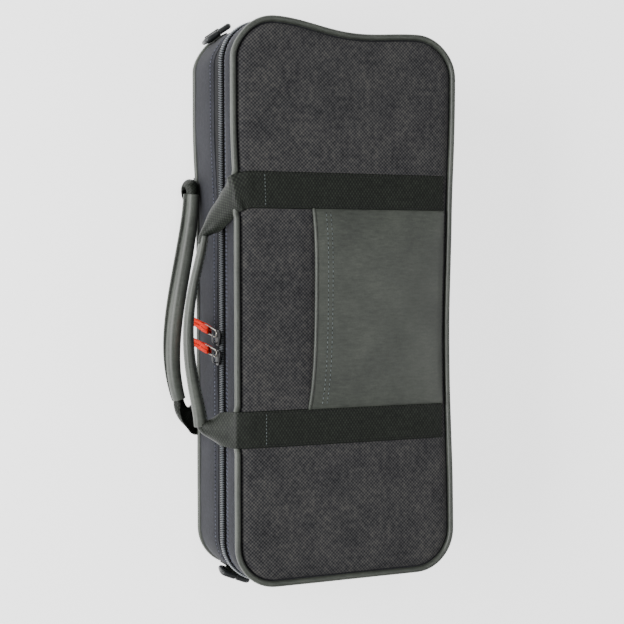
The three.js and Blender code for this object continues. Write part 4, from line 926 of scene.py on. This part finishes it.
def lid_webbing(end, strap, turned, tail):
    """One strap of the lid with its tail, as one length of webbing."""
    centre = STRAP_CENTRES[strap]
    parts = webbing_run(lid_strap_keys(centre, turned) + tail, 200)
    made = piece("lid_webbing_" + end, webbing_shell(*parts), webbing, None,
                 ["lid_strap_" + end, "lid_tail_" + end])
    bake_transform(made)
    flat = np.flatnonzero(parts[0][:, 1] > -74)
    tack_x = np.linspace(-11.2, 11.2, 12)
    tack_z = float(lid_height(np.array(centre), np.array(TACK_Y))) + WEBBING_THICKNESS + 0.05
    tack = np.stack([centre + tack_x, np.full(12, TACK_Y), np.full(12, tack_z)], -1)
    sew("lid_strap_" + end, edge_seams(*parts, flat), dark_thread, "lid")
    sew("lid_tack_" + end, [seam(tack, (0, 0, 1), 2.4, 0.5)], green_grey_thread, "lid")


lid_webbing("head", 0, True, LID_HEAD_TAIL)
lid_webbing("foot", 1, False, LID_FOOT_TAIL)


def base_strap_keys(centre):
    """The strap under the base: flat on the table from its far end to the handle side."""
    return [((centre, y, 0.1), (0, -1, 0), (0, 0, -1), WIDTH, 0.02)
            for y in (far_edge(centre) - 0.5, 60, 30, 0, -30, -55, -70, -80, -86.5)]


BASE_HEAD_TAIL = [
    ((-83.6, -91.0, 0.9), (-0.4, -0.9, 0.2), (0, -0.1, -1), 23, 1.1),
    ((-89.2, -93.6, 2.4), (-0.9, -0.3, 0.5), (-0.4, -0.2, -0.9), 21, 2.8),
    ((-92.4, -93.8, 7.2), (-0.1, 0, 1), (-0.95, -0.3, 0.1), 20, 3.3),
    ((-89.6, -93.6, 13.4), (0.8, 0.05, 0.5), (-0.5, -0.3, 0.85), 20, 3.6),
    ((-84.8, -93.2, 16.0), (1, -0.1, 0.1), (-0.1, -0.25, 0.95), 20, 4.3),
    ((-79.5, -92.8, 15.9), (1, -0.2, 0), (0, 0, 1), 21.5, 5.6),
    ((-74.0, -93.6, 15.8), (1, -0.2, 0), (0, 0, 1), 21, 5.8),
]
BASE_FOOT_TAIL = [
    ((87.2, -91.2, 0.8), (0, -1, 0.12), (0, -0.1, -1), 24, 1.0),
    ((85.8, -96.6, 1.8), (-0.35, -0.9, 0.3), (0.2, -0.3, -0.95), 22.5, 2.2),
    ((81.8, -102.0, 4.5), (-0.8, -0.5, 0.4), (0.1, -0.5, -0.85), 22, 3.2),
    ((76.6, -105.2, 7.4), (-1, -0.15, 0.15), (0, -0.5, -0.85), 21.5, 4.5),
    ((70.5, -106.4, 8.7), (-1, -0.1, 0), (0, -0.5, -0.85), 21, 5.4),
    ((64.0, -107.9, 8.8), (-1, -0.1, 0), (0, -0.5, -0.85), 21, 5.6),
]


TABLE_GAP = 0.05


def base_webbing(end, strap, tail):
    """One strap under the base with its tail into the lower grip. No point of it goes below the table."""
    centre = STRAP_CENTRES[strap]
    parts = webbing_run(base_strap_keys(centre) + tail, 190)
    strap_and_tail = webbing_shell(*parts)
    strap_and_tail["verts"][:, 2] = np.maximum(strap_and_tail["verts"][:, 2], TABLE_GAP)
    made = piece("base_webbing_" + end, strap_and_tail, webbing, None,
                 ["base_strap_" + end, "base_tail_" + end])
    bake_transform(made)
    flat = np.flatnonzero(parts[0][:, 1] > -80)
    sew("base_strap_" + end, edge_seams(*parts, flat, raised=-0.45), dark_thread, "base")


base_webbing("head", 0, BASE_HEAD_TAIL)
base_webbing("foot", 1, BASE_FOOT_TAIL)


# Grips

BASE_GRIP = {
    "radius": 5.7, "flange": 2.6, "height": 12, "from": (-80.5, 4.7), "to": (71, 16.6), "bulge": 7.8, "lean": 1.85,
    "peak": 1, "wide": (0.86, 1, 1, 0.86), "tall": (0.86, 1, 1, 0.86), "lip": (1.0, 1.0, 0.8, 0.4),
    "twist": (0, 0, 12, 38),
}
LID_GRIP = {
    "radius": 3.8, "flange": 1.4, "height": 63, "from": (-49, 14.4), "to": (85.5, 17.4), "bulge": 10.4, "lean": 1,
    "peak": 1.5, "wide": (0.74, 0.8, 0.95, 1.2), "tall": (0.9, 1, 1, 1.05), "lip": (0.7, 0.8, 0.9, 0.9),
    "twist": (0, 0, 0, 0),
}


def grip_path(sizes, count):
    """A grip's middle line: straight along X, with a bulge outwards that is a power of a leaning parabola."""
    share = np.linspace(0, 1, count)
    (x0, out0), (x1, out1) = sizes["from"], sizes["to"]
    leant = share ** sizes["lean"]
    reach = out0 + (out1 - out0) * share + sizes["bulge"] * (4 * leant * (1 - leant)) ** sizes["peak"]
    return np.stack([x0 + (x1 - x0) * share, -HALF_WIDTH - reach, np.full(count, float(sizes["height"]))], -1)


def grip(name, sizes, flange_side, body, node, thread):
    """A leatherette sleeve sewn round a core. Its section at each station is a circle of points from one flange
    root round to the other, then the flat flange with its rounded lip. Width, height, lip and twist each follow
    a spline along the grip, and fine creases gather towards its ends."""
    count, thickness = 160, 1.8
    radius = sizes["radius"]
    path = grip_path(sizes, count)
    share = np.linspace(0, 1, count)
    wide, tall, lip, twist = (spline(np.array(sizes[key], float)[:, None], count)
                              for key in ("wide", "tall", "lip", "twist"))
    root = math.asin(thickness / 2 / radius)
    around = np.linspace(root, 2 * np.pi - root, 32)[None]
    near_end = np.exp(-np.minimum(share, 1 - share) / 0.05)[:, None]
    crease = 0.08 * ripple(path[:, :1], 6 * around, 8) * (0.4 + 2.4 * near_end)
    u = (radius + crease) * np.cos(around) * wide
    v = (radius + crease) * np.sin(around) * tall
    tip = radius * wide + sizes["flange"] * lip
    foot = radius * 0.99 * wide
    out = np.concatenate([foot, tip - 0.5, tip - 0.15, tip, tip - 0.15, tip - 0.5, foot], 1)
    up = np.broadcast_to(thickness / 2 * np.array([-0.95, -0.95, -0.6, 0, 0.6, 0.95, 0.95]), out.shape)
    u, v = np.concatenate([u, out], 1), np.concatenate([v, up], 1)
    lean = np.radians(-twist)
    section = np.stack([(u * np.cos(lean) - v * np.sin(lean)) * flange_side, u * np.sin(lean) + v * np.cos(lean)], -1)
    made = piece(name, sweep(path, wrap(section, 1), (0, 0, 1), dome=0.9), leatherette, body, [node])
    side = unit(np.cross(unit(np.gradient(path, axis=0)), [0, 0, 1])) * flange_side
    lift = np.broadcast_to([0, 0, 1.0], side.shape)
    rows = slice(4, count - 4)
    seams = []
    for face in (-1, 1):
        u, v = radius * wide + 0.38 * sizes["flange"] * lip, face * thickness / 2
        track = path + side * (u * np.cos(lean) - v * np.sin(lean)) + lift * (u * np.sin(lean) + v * np.cos(lean))
        normal = face * (lift * np.cos(lean) - side * np.sin(lean))
        seams.append(seam(track[rows], normal[rows], 3.1, 0.55))
    sew(name, seams, thread, body)


grip("lower_grip_sleeve", BASE_GRIP, 1, "base_handle", "base_grip", dark_thread)
grip("upper_grip_sleeve", LID_GRIP, -1, "lid_handle", "lid_grip", green_grey_thread)


# Pocket

POCKET_FROM = STRAP_CENTRES[0] + WEBBING_WIDTH / 2 + 0.3
POCKET_TO = STRAP_CENTRES[1] - WEBBING_WIDTH / 2 - 0.3
POCKET_MOUTH, POCKET_FLARE, POCKET_BULGE, POCKET_THICKNESS = -27, 3.5, 5.4, 1.6


def pocket_mouth(u):
    """The mouth's line, at shares along the pocket: it flares towards the foot end as a cube."""
    return POCKET_FROM + (POCKET_TO - POCKET_FROM) * u, POCKET_MOUTH - POCKET_FLARE * u ** 3


def pocket_point(u, v, lift):
    """The pocket over the lid: it bulges most at its mouth's middle and lies down towards its other edges."""
    x, mouth = pocket_mouth(u)
    y = mouth + (far_edge(x) - mouth) * v
    rise = POCKET_BULGE * (1 - (2 * u - 1) ** 4) * np.cos(np.pi / 2 * np.clip(v, 0, 1)) ** 0.6
    soft = 0.22 * ripple(x, y, 38, 2) * np.minimum(1, 6 * (1 - v))
    z = LID_TOP - roll(inset_at(x, y)) + 0.3 + rise + soft + lift
    return np.stack([x, y, z], -1)


def pocket():
    """The pocket's sheet: two faces of the same surface, a thickness apart, closed round its rim."""
    u, v = np.linspace(0, 1, 90), np.concatenate([np.linspace(0, 0.2, 14), np.linspace(0.2, 1, 34)[1:]])
    across, along = np.meshgrid(v, u, indexing="ij")
    rim = 0.25 / (POCKET_TO - POCKET_FROM)
    top, bottom = (pocket_point(rim + along * (1 - 2 * rim), across, lift) for lift in (POCKET_THICKNESS, 0.0))
    left, right = (np.stack([pocket_point(np.full_like(v, end), v, POCKET_THICKNESS * e) for e in (0.12, 0.5, 0.88)], 1)
                   for end in (0.0, 1.0))
    ringed = np.concatenate([top, right[:, ::-1], bottom[:, ::-1], left], 1)
    ends = []
    for k in (0, -1):
        fold = (top[k] + bottom[k]) / 2
        ends.append(np.concatenate([fold, np.repeat(fold[-1:], 3, 0), fold[::-1], np.repeat(fold[:1], 3, 0)])[None])
    points = wrap(np.concatenate([ends[0], ringed, ends[1]]), 1)
    return shell(points, points[..., :2])


pocket_sheet = piece("pocket_leather", pocket(), leatherette, "lid", ["pocket_panel"])


def pocket_binding():
    """The rolled edge along the mouth: leatherette folded round a cord."""
    u = np.linspace(0, 1, 110)
    edge = pocket_point(u, np.zeros(110), 0.9)
    path = edge + [0, -1.0, 0.15]
    size = np.ones(110)
    size[[0, -1]] = 0.8
    return sweep(path, ring(1.25, 14), (0, 0, 1), size, dome=0.4)


piece("pocket_rolled_edge", pocket_binding(), leatherette, "lid", ["pocket_binding"])


def pocket_row(distance):
    """A seam across the pocket at a distance from its mouth."""
    u = np.linspace(0.02, 0.98, 90)
    x, mouth = pocket_mouth(u)
    v = distance / (far_edge(x) - mouth)
    return seam(pocket_point(u, v, POCKET_THICKNESS), (0, 0, 1), 3.3, 0.6, 0.6)


sew("pocket", [pocket_row(8), pocket_row(11.5)], green_grey_thread, "lid")


# Zip sliders and their pulls

SLIDER_INNER_Y, SLIDER_OUTER_Y = -88.0, -90.4
PIVOT = np.array([-3.4, -91.7, ZIP_HEIGHT])
SLIDERS = (("a", 23.7, 14), ("b", 37.7, 12))
PULL_LEAN = 11


def slider_plate():
    """The slider's shield: narrower at its foot end, crowned outwards, with rounded edges."""
    share = np.linspace(0, 1, 16)
    x = -5.7 + 11.4 * share
    half = 4.3 * (1 - 0.28 * smooth((share - 0.35) / 0.65)) * np.sqrt(np.clip(1 - (2 * share - 1) ** 8, 0.02, 1))
    angle = np.linspace(0, 2 * np.pi, 21)[:-1]
    cross = np.stack([np.sign(np.cos(angle)) * np.abs(np.cos(angle)) ** 0.5,
                      np.sign(np.sin(angle)) * np.abs(np.sin(angle)) ** 0.6], -1)
    across = wrap(cross)
    thick = 1.2 * np.sqrt(np.clip(1 - (2 * share - 1) ** 10, 0.05, 1))
    points = np.stack(np.broadcast_arrays(
        x[:, None], (SLIDER_INNER_Y + SLIDER_OUTER_Y) / 2 - thick[:, None] * across[None, :, 1],
        ZIP_HEIGHT + half[:, None] * across[None, :, 0]), -1)
    points = capped(points)
    return shell(points, points[..., ::2])


def slider_bridge():
    """The arch that holds the pull: a flat bar bent into a low hoop along the slider."""
    half = [(3.4, -89.6), (3.5, -91.6), (2.9, -93.0), (1.2, -93.5)]
    keys = [(-x, y) for x, y in half] + half[::-1]
    path = spline([(x, y, ZIP_HEIGHT) for x, y in keys], 40)
    return sweep(path, ring(1.2, 12, 0.4), np.cross(np.gradient(path, axis=0), [0, 0, 1.0]), dome=0.3)


def slider_flange():
    """The rail under the shield, on the base half's side."""
    return moved(rounded_box((8.0, 2.2, 1.4), 0.45), (0, -88.3, ZIP_HEIGHT - 3.6))


def wire_loop():
    """The wire stirrup: two straight legs joined by half circles."""
    bend, length = 2.45, 14
    half = np.linspace(0, np.pi, 13)
    upper = np.stack([bend * np.cos(half), np.zeros(13), bend * np.sin(half)], -1)
    lower = np.stack([-bend * np.cos(half), np.zeros(13), -length - bend * np.sin(half)], -1)
    return sweep(np.concatenate([upper, lower]), ring(0.55, 10), (0, 1, 0), closed=True)


def pull_cord():
    """A ribbed cord doubled over the stirrup: two strands side by side, stitched together below the wire and
    ending in a short pressed tip."""
    strands = []
    for sign in (-1, 1):
        leg = [(1.5, 0, -18.5), (1.6, 0, -22), (1.55, 0.1, -26), (1.5, 0, -30), (1.45, 0, -32.2)]
        path = spline([(x * sign, y, z) for x, y, z in leg], 40)
        strands.append(sweep(path, ring(1.5, 12, 0.95), (0, 1, 0), dome=1.0))
        for face in (-1, 1):
            fold = [(1.5, 0.5, -19.5), (1.55, 1.1, -16.5), (1.5, 1.45, -12), (1.45, 1.2, -8.2)]
            path = spline([(x * sign, y * face, z) for x, y, z in fold], 36)
            strands.append(sweep(path, ring(1.42, 12, 0.55), (0, 1, 0), dome=0.7))
    wrapped = moved(rounded_box((6.2, 3.0, 1.9), 0.7), (0, 0, -19.2))
    return strands + [wrapped]


def slider_and_pull(letter, x, slant):
    """One slider with its pull, hung from the bridge's post nearer the -X end and slanted as photographed."""
    parts = [moved(part, (x, 0, 0)) for part in (slider_plate(), slider_bridge(), slider_flange())]
    piece("slider_casting_" + letter, parts, enamel, "slider_" + letter, ["slider_" + letter], sharp=50)
    turn = spin((1, 0, 0), -PULL_LEAN) @ spin((0, 1, 0), slant)
    place = PIVOT + [x, 0, 0]
    piece("stirrup_" + letter, moved(wire_loop(), place, turn), wire, "pull_" + letter,
          ["pull_wire_" + letter])
    piece("pull_ribbon_" + letter, [moved(part, place, turn) for part in pull_cord()], pull_braid, "pull_" + letter,
          ["pull_cord_" + letter])


for letter, x, slant in SLIDERS:
    slider_and_pull(letter, x, slant)


# Shoulder strap loops

LOOPS = (("head", -1, 10.5, 35, 4), ("foot", 1, 26.5, 22, 11))
LOOP_REACH, LOOP_WIDTH = 12, 25
LOOP_BAR, LOOP_CLEARANCE, TAB_HALF = 2, 0.3, 0.55
LOOP_EYE = LOOP_BAR + LOOP_CLEARANCE + TAB_HALF
LOOP_STAND_OFF = LOOP_EYE + TAB_HALF + LOOP_CLEARANCE


def loop_shape():
    """A moulded loop with a slit in its outer bar, which thickens outwards. Its inner bar lies along X."""
    half = LOOP_WIDTH / 2 - 2.4
    side = [(0.8, 12), (half * 0.4, 12), (half * 0.75, 11.9), (half * 0.95, 11), (half, 8.6), (half * 0.98, 4.4),
            (half * 0.93, 1.5), (half * 0.8, 0.2), (half * 0.5, 0), (0.6, 0)]
    keys = [(x, 0, -r) for x, r in side] + [(-x, 0, -r) for x, r in side[::-1]]
    path = spline(keys, 110)
    size = 1.85 + 0.55 * smooth(-path[:, 2] / LOOP_REACH)
    return sweep(path, ring(1, 14, 0.92), (0, 1, 0), size, dome=0.5)


def loop_and_tab(end, side, height, angle, lean):
    """One loop that stands in its webbing tab at a corner of the handle side. The tab is wrapped round the
    loop's inner bar, and its leg is sewn to the wall: above the loop at the head and below it at the foot."""
    a, tilt = math.radians(angle), math.radians(lean)
    out = np.array([side * math.cos(a), -math.sin(a), 0])
    level = np.array([-out[1], out[0], 0])
    corner = np.array([side * CORNER_X - (HEAD_SLANT if side < 0 else 0), -CORNER_Y, height])
    place = corner + out * (CORNER_RADIUS - WALL_INSET + LOOP_STAND_OFF)
    stand = np.array([0, 0, math.cos(tilt)]) + out * math.sin(tilt)
    basis = np.stack([level, np.cross(-stand, level), -stand], 1)
    piece("moulded_loop_" + end, moved(loop_shape(), place, basis), moulded_nylon, "strap_loop_" + end,
          ["strap_loop_" + end])
    leg = -side
    turn = -leg * np.linspace(-np.pi / 2, np.pi, 18)
    flat = np.concatenate([np.stack([np.cos(turn), np.sin(turn)], -1) * LOOP_EYE,
                           [[-LOOP_EYE, leg * k] for k in (3, 7, 11.6)]])
    path = place + out * flat[:, 0:1] + np.array([0, 0, 1.0]) * flat[:, 1:2]
    upper = np.array([[-6.1, 0.1], [-5.9, 0.5], [5.9, 0.5], [6.1, 0.1]])
    section = np.concatenate([upper, upper * [-1, -1]])
    piece("loop_webbing_tab_" + end, sweep(path, wrap(section), np.cross(np.gradient(path, axis=0), level), dome=0.2),
          webbing, "base", ["loop_tab_" + end])
    tack = np.stack([place + out * (0.5 - LOOP_EYE) + level * k + [0, 0, leg * 8.5] for k in np.linspace(-4.8, 4.8, 8)])
    sew("loop_tab_" + end, [seam(tack, out, 2.2, 0.45)], dark_thread, "base")


for loop in LOOPS:
    loop_and_tab(*loop)


# Inside the base: two foam cradles under plush, and the accessory bay's lid

FOAM_TOP, FOAM_INSET, CRADLE_FLOOR = 52, 10.0, 5.5
CRADLE_SPLIT = 77
WELL_FLOORS = (
    ("tube", -181, 70, -46, 24, 35), ("tube", -178, 70, 6, 21, 33), ("tube", 4, 72, 53, 17, 34),
    ("tube", 84, 180, 42, 17, 34), ("bell", 84, 184, -28, 38.6, 44.9), ("bay", -176, -4, 56, 14, 12),
)
BELL_SHARES = np.array([[0, 1], [0.14, 0.8], [0.35, 0.45], [0.65, 0.15], [1, 0]])
BELL_NECK = 20
CRADLE_WIDTH = 154


def foam_height(x, y):
    """The cradle's top as a height over each point: the flat foam, less each well's round or flat floor."""
    top = np.full(x.shape, float(FOAM_TOP))
    for kind, x0, x1, yc, radius, height in WELL_FLOORS:
        if kind == "bay":
            inside = (x > x0) & (x < x1) & (np.abs(y - yc) < radius)
            ledge = (x > x0 - 2.5) & (x < x1 + 2.5) & (y > yc - radius - 2.5) & (y < yc + radius)
            top = np.where(ledge, np.minimum(top, FOAM_TOP - 3.3), top)
            top = np.where(inside, height, top)
            continue
        share = np.clip((x - x0) / (x1 - x0), 0, 1)
        wide = radius
        if kind == "bell":
            wide = BELL_NECK + (radius - BELL_NECK) * np.interp(share, BELL_SHARES[:, 0], BELL_SHARES[:, 1])
        across = np.abs(y - yc)
        inside = (x > x0) & (x < x1) & (across < wide)
        floor = height - np.sqrt(np.maximum(wide ** 2 - across ** 2, 0))
        top = np.where(inside, np.minimum(top, floor), top)
    return top


def soften(values, rounds):
    """Repeated averaging with the four neighbours, which rounds the plush over the foam's edges."""
    for _ in range(rounds):
        padded = np.pad(values, 1, mode="edge")
        values = (values * 2 + padded[:-2, 1:-1] + padded[2:, 1:-1] + padded[1:-1, :-2] + padded[1:-1, 2:]) / 6
    return values


def cradle(x_from, x_to, step=1.5):
    """A plush-covered foam block: its top as a height field between the case's sides, closed by its own sides."""
    x = np.linspace(x_from, x_to, int((x_to - x_from) / step) + 1)
    share = np.linspace(0, 1, int(CRADLE_WIDTH / step) + 1)
    side = np.interp(np.abs(x), [0, 168, 178, 186, 190], [0, 0, 3.0, 10.5, 17.5])
    waist = side_waist(x)
    low = -HALF_WIDTH + FOAM_INSET + side
    far = HALF_WIDTH - FOAM_INSET - waist - side
    gx = np.broadcast_to(x[:, None], (len(x), len(share)))
    gy = low[:, None] + (far - low)[:, None] * share[None]
    top = soften(foam_height(gx, gy), 5)
    edge = np.minimum(np.minimum(share, 1 - share) * CRADLE_WIDTH, 2.0) / 2.0
    ends = np.minimum(np.minimum(x - x_from, x_to - x), 2.0) / 2.0
    edge = np.minimum(edge[None], ends[:, None])
    top = top - 0.9 * (1 - np.sqrt(np.clip(1 - (1 - edge) ** 2, 0, 1)))
    grid = np.stack([gx, gy, top], -1)
    floor = grid.copy()
    floor[..., 2] = CRADLE_FLOOR
    rows = wrap(np.concatenate([grid, floor[:, ::-1]], 1), 1)
    head, foot = (np.concatenate([floor[k], floor[k][::-1], floor[k][:1]])[None] for k in (0, -1))
    points = np.concatenate([head, rows, foot])
    return shell(points, points[..., :2])


joint_cradle = piece("joint_cradle_plush", cradle(-189, CRADLE_SPLIT), plush, "base", ["joint_cradle"],
                     sharp=60)
bell_cradle = piece("bell_cradle_plush", cradle(CRADLE_SPLIT + 0.3, 189), plush, "base", ["bell_cradle"],
                    sharp=60)

BAY_MIDDLE = -90
board = piece("accessory_board_plush", moved(rounded_box((176.4, 29.9, 3.0), 1.1, 4), (BAY_MIDDLE, 54.75, 50.5)), plush,
              "accessory_lid", ["accessory_lid"])


# A folded ribbon on the board's near edge
piece("accessory_ribbon", moved(rounded_box((14, 10, 1.2), 0.4), (BAY_MIDDLE, 47, 52.9)), webbing, "accessory_lid",
      ["accessory_tab"])


def lining():
    """A plush-covered board inside the lid, with a soft rounded edge."""
    insets = [WALL_INNER_INSET + 0.3 + d for d in (0.5, 0, 0, 0.5, 4, 14)]
    heights = [85.3, 85.0, 84.5, 84.15, 84.1, 84.1]
    rows, levels = [RIM_MIDDLE[WHOLE]], [85.3]
    for inset, height in zip(insets, heights):
        rows.append(RIM[WHOLE] - RIM_OUT[WHOLE] * inset)
        levels.append(height)
    rows.append(RIM_MIDDLE[WHOLE])
    levels.append(84.1)
    flat = np.array(rows)
    level = np.broadcast_to(np.array(levels)[:, None, None], flat.shape[:2] + (1,))
    points = np.concatenate([flat, level], -1)
    return shell(points, points[..., :2])


piece("lid_lining_plush", lining(), plush, "lid", ["lid_lining"])


# Camera, light and floor

def camera():
    """The photograph's view: from above the handle side, with the case's head at the top of the frame."""
    made = bpy.data.objects.new("camera", bpy.data.cameras.new("camera"))
    bpy.context.scene.collection.objects.link(made)
    made.data.sensor_width = 36
    made.data.lens = 1322 * 36 / 624
    made.location = (CENTRE[0] * 0.001 - 0.02752178, CENTRE[1] * 0.001 - 0.40168539, 0.95121749)
    made.rotation_euler = [math.radians(a) for a in (-1.93399389, -23.36870339, 89.87637871)]
    bpy.context.scene.camera = made


def softbox(name, place, target, size, power):
    """A large rectangular area light, aimed at a target."""
    light = bpy.data.lights.new(name, "AREA")
    light.shape = "RECTANGLE"
    light.size, light.size_y = size
    light.energy = power
    made = bpy.data.objects.new(name, light)
    bpy.context.scene.collection.objects.link(made)
    made.location = place
    direction = np.array(target, float) - np.array(place, float)
    z = -unit(direction)
    x = unit(np.cross([0, 0, 1.0] if abs(z[2]) < 0.99 else [0, 1.0, 0], z))
    y = np.cross(z, x)
    made.rotation_euler = Matrix(np.stack([x, y, z], 1).tolist()).to_euler()


FLOOR_HALF = 20


def studio():
    """A white table lit from below, a long softbox over the handle side, and weaker ones overhead and behind."""
    world = bpy.data.worlds.new("studio")
    bpy.context.scene.world = world
    world.use_nodes = True
    world.node_tree.nodes["Background"].inputs[0].default_value = (1, 1, 1, 1)
    world.node_tree.nodes["Background"].inputs[1].default_value = 0.12
    mesh = bpy.data.meshes.new("floor")
    corners = [(x * FLOOR_HALF, y * FLOOR_HALF, 0) for x, y in ((-1, -1), (1, -1), (1, 1), (-1, 1))]
    mesh.from_pydata(corners, [], [(0, 1, 2, 3)])
    floor = bpy.data.objects.new("floor", mesh)
    bpy.context.scene.collection.objects.link(floor)
    material, _, _ = start("white_paper", 0xFAFAFA, Roughness=0.9, IOR=1.45, emission_color=(1, 1, 1, 1),
                           emission_strength=1.8)
    mesh.materials.append(material)
    softbox("key_light", (-0.1, -1.5, 0.85), (0, 0, 0.05), (1.6, 0.5), 42)
    softbox("top_light", (-0.1, -0.05, 1.6), (0, 0, 0.05), (1.6, 0.22), 8)
    softbox("fill_light", (0.2, 1.2, 1.2), (0, 0, 0.05), (1.2, 0.6), 5)


camera()
studio()
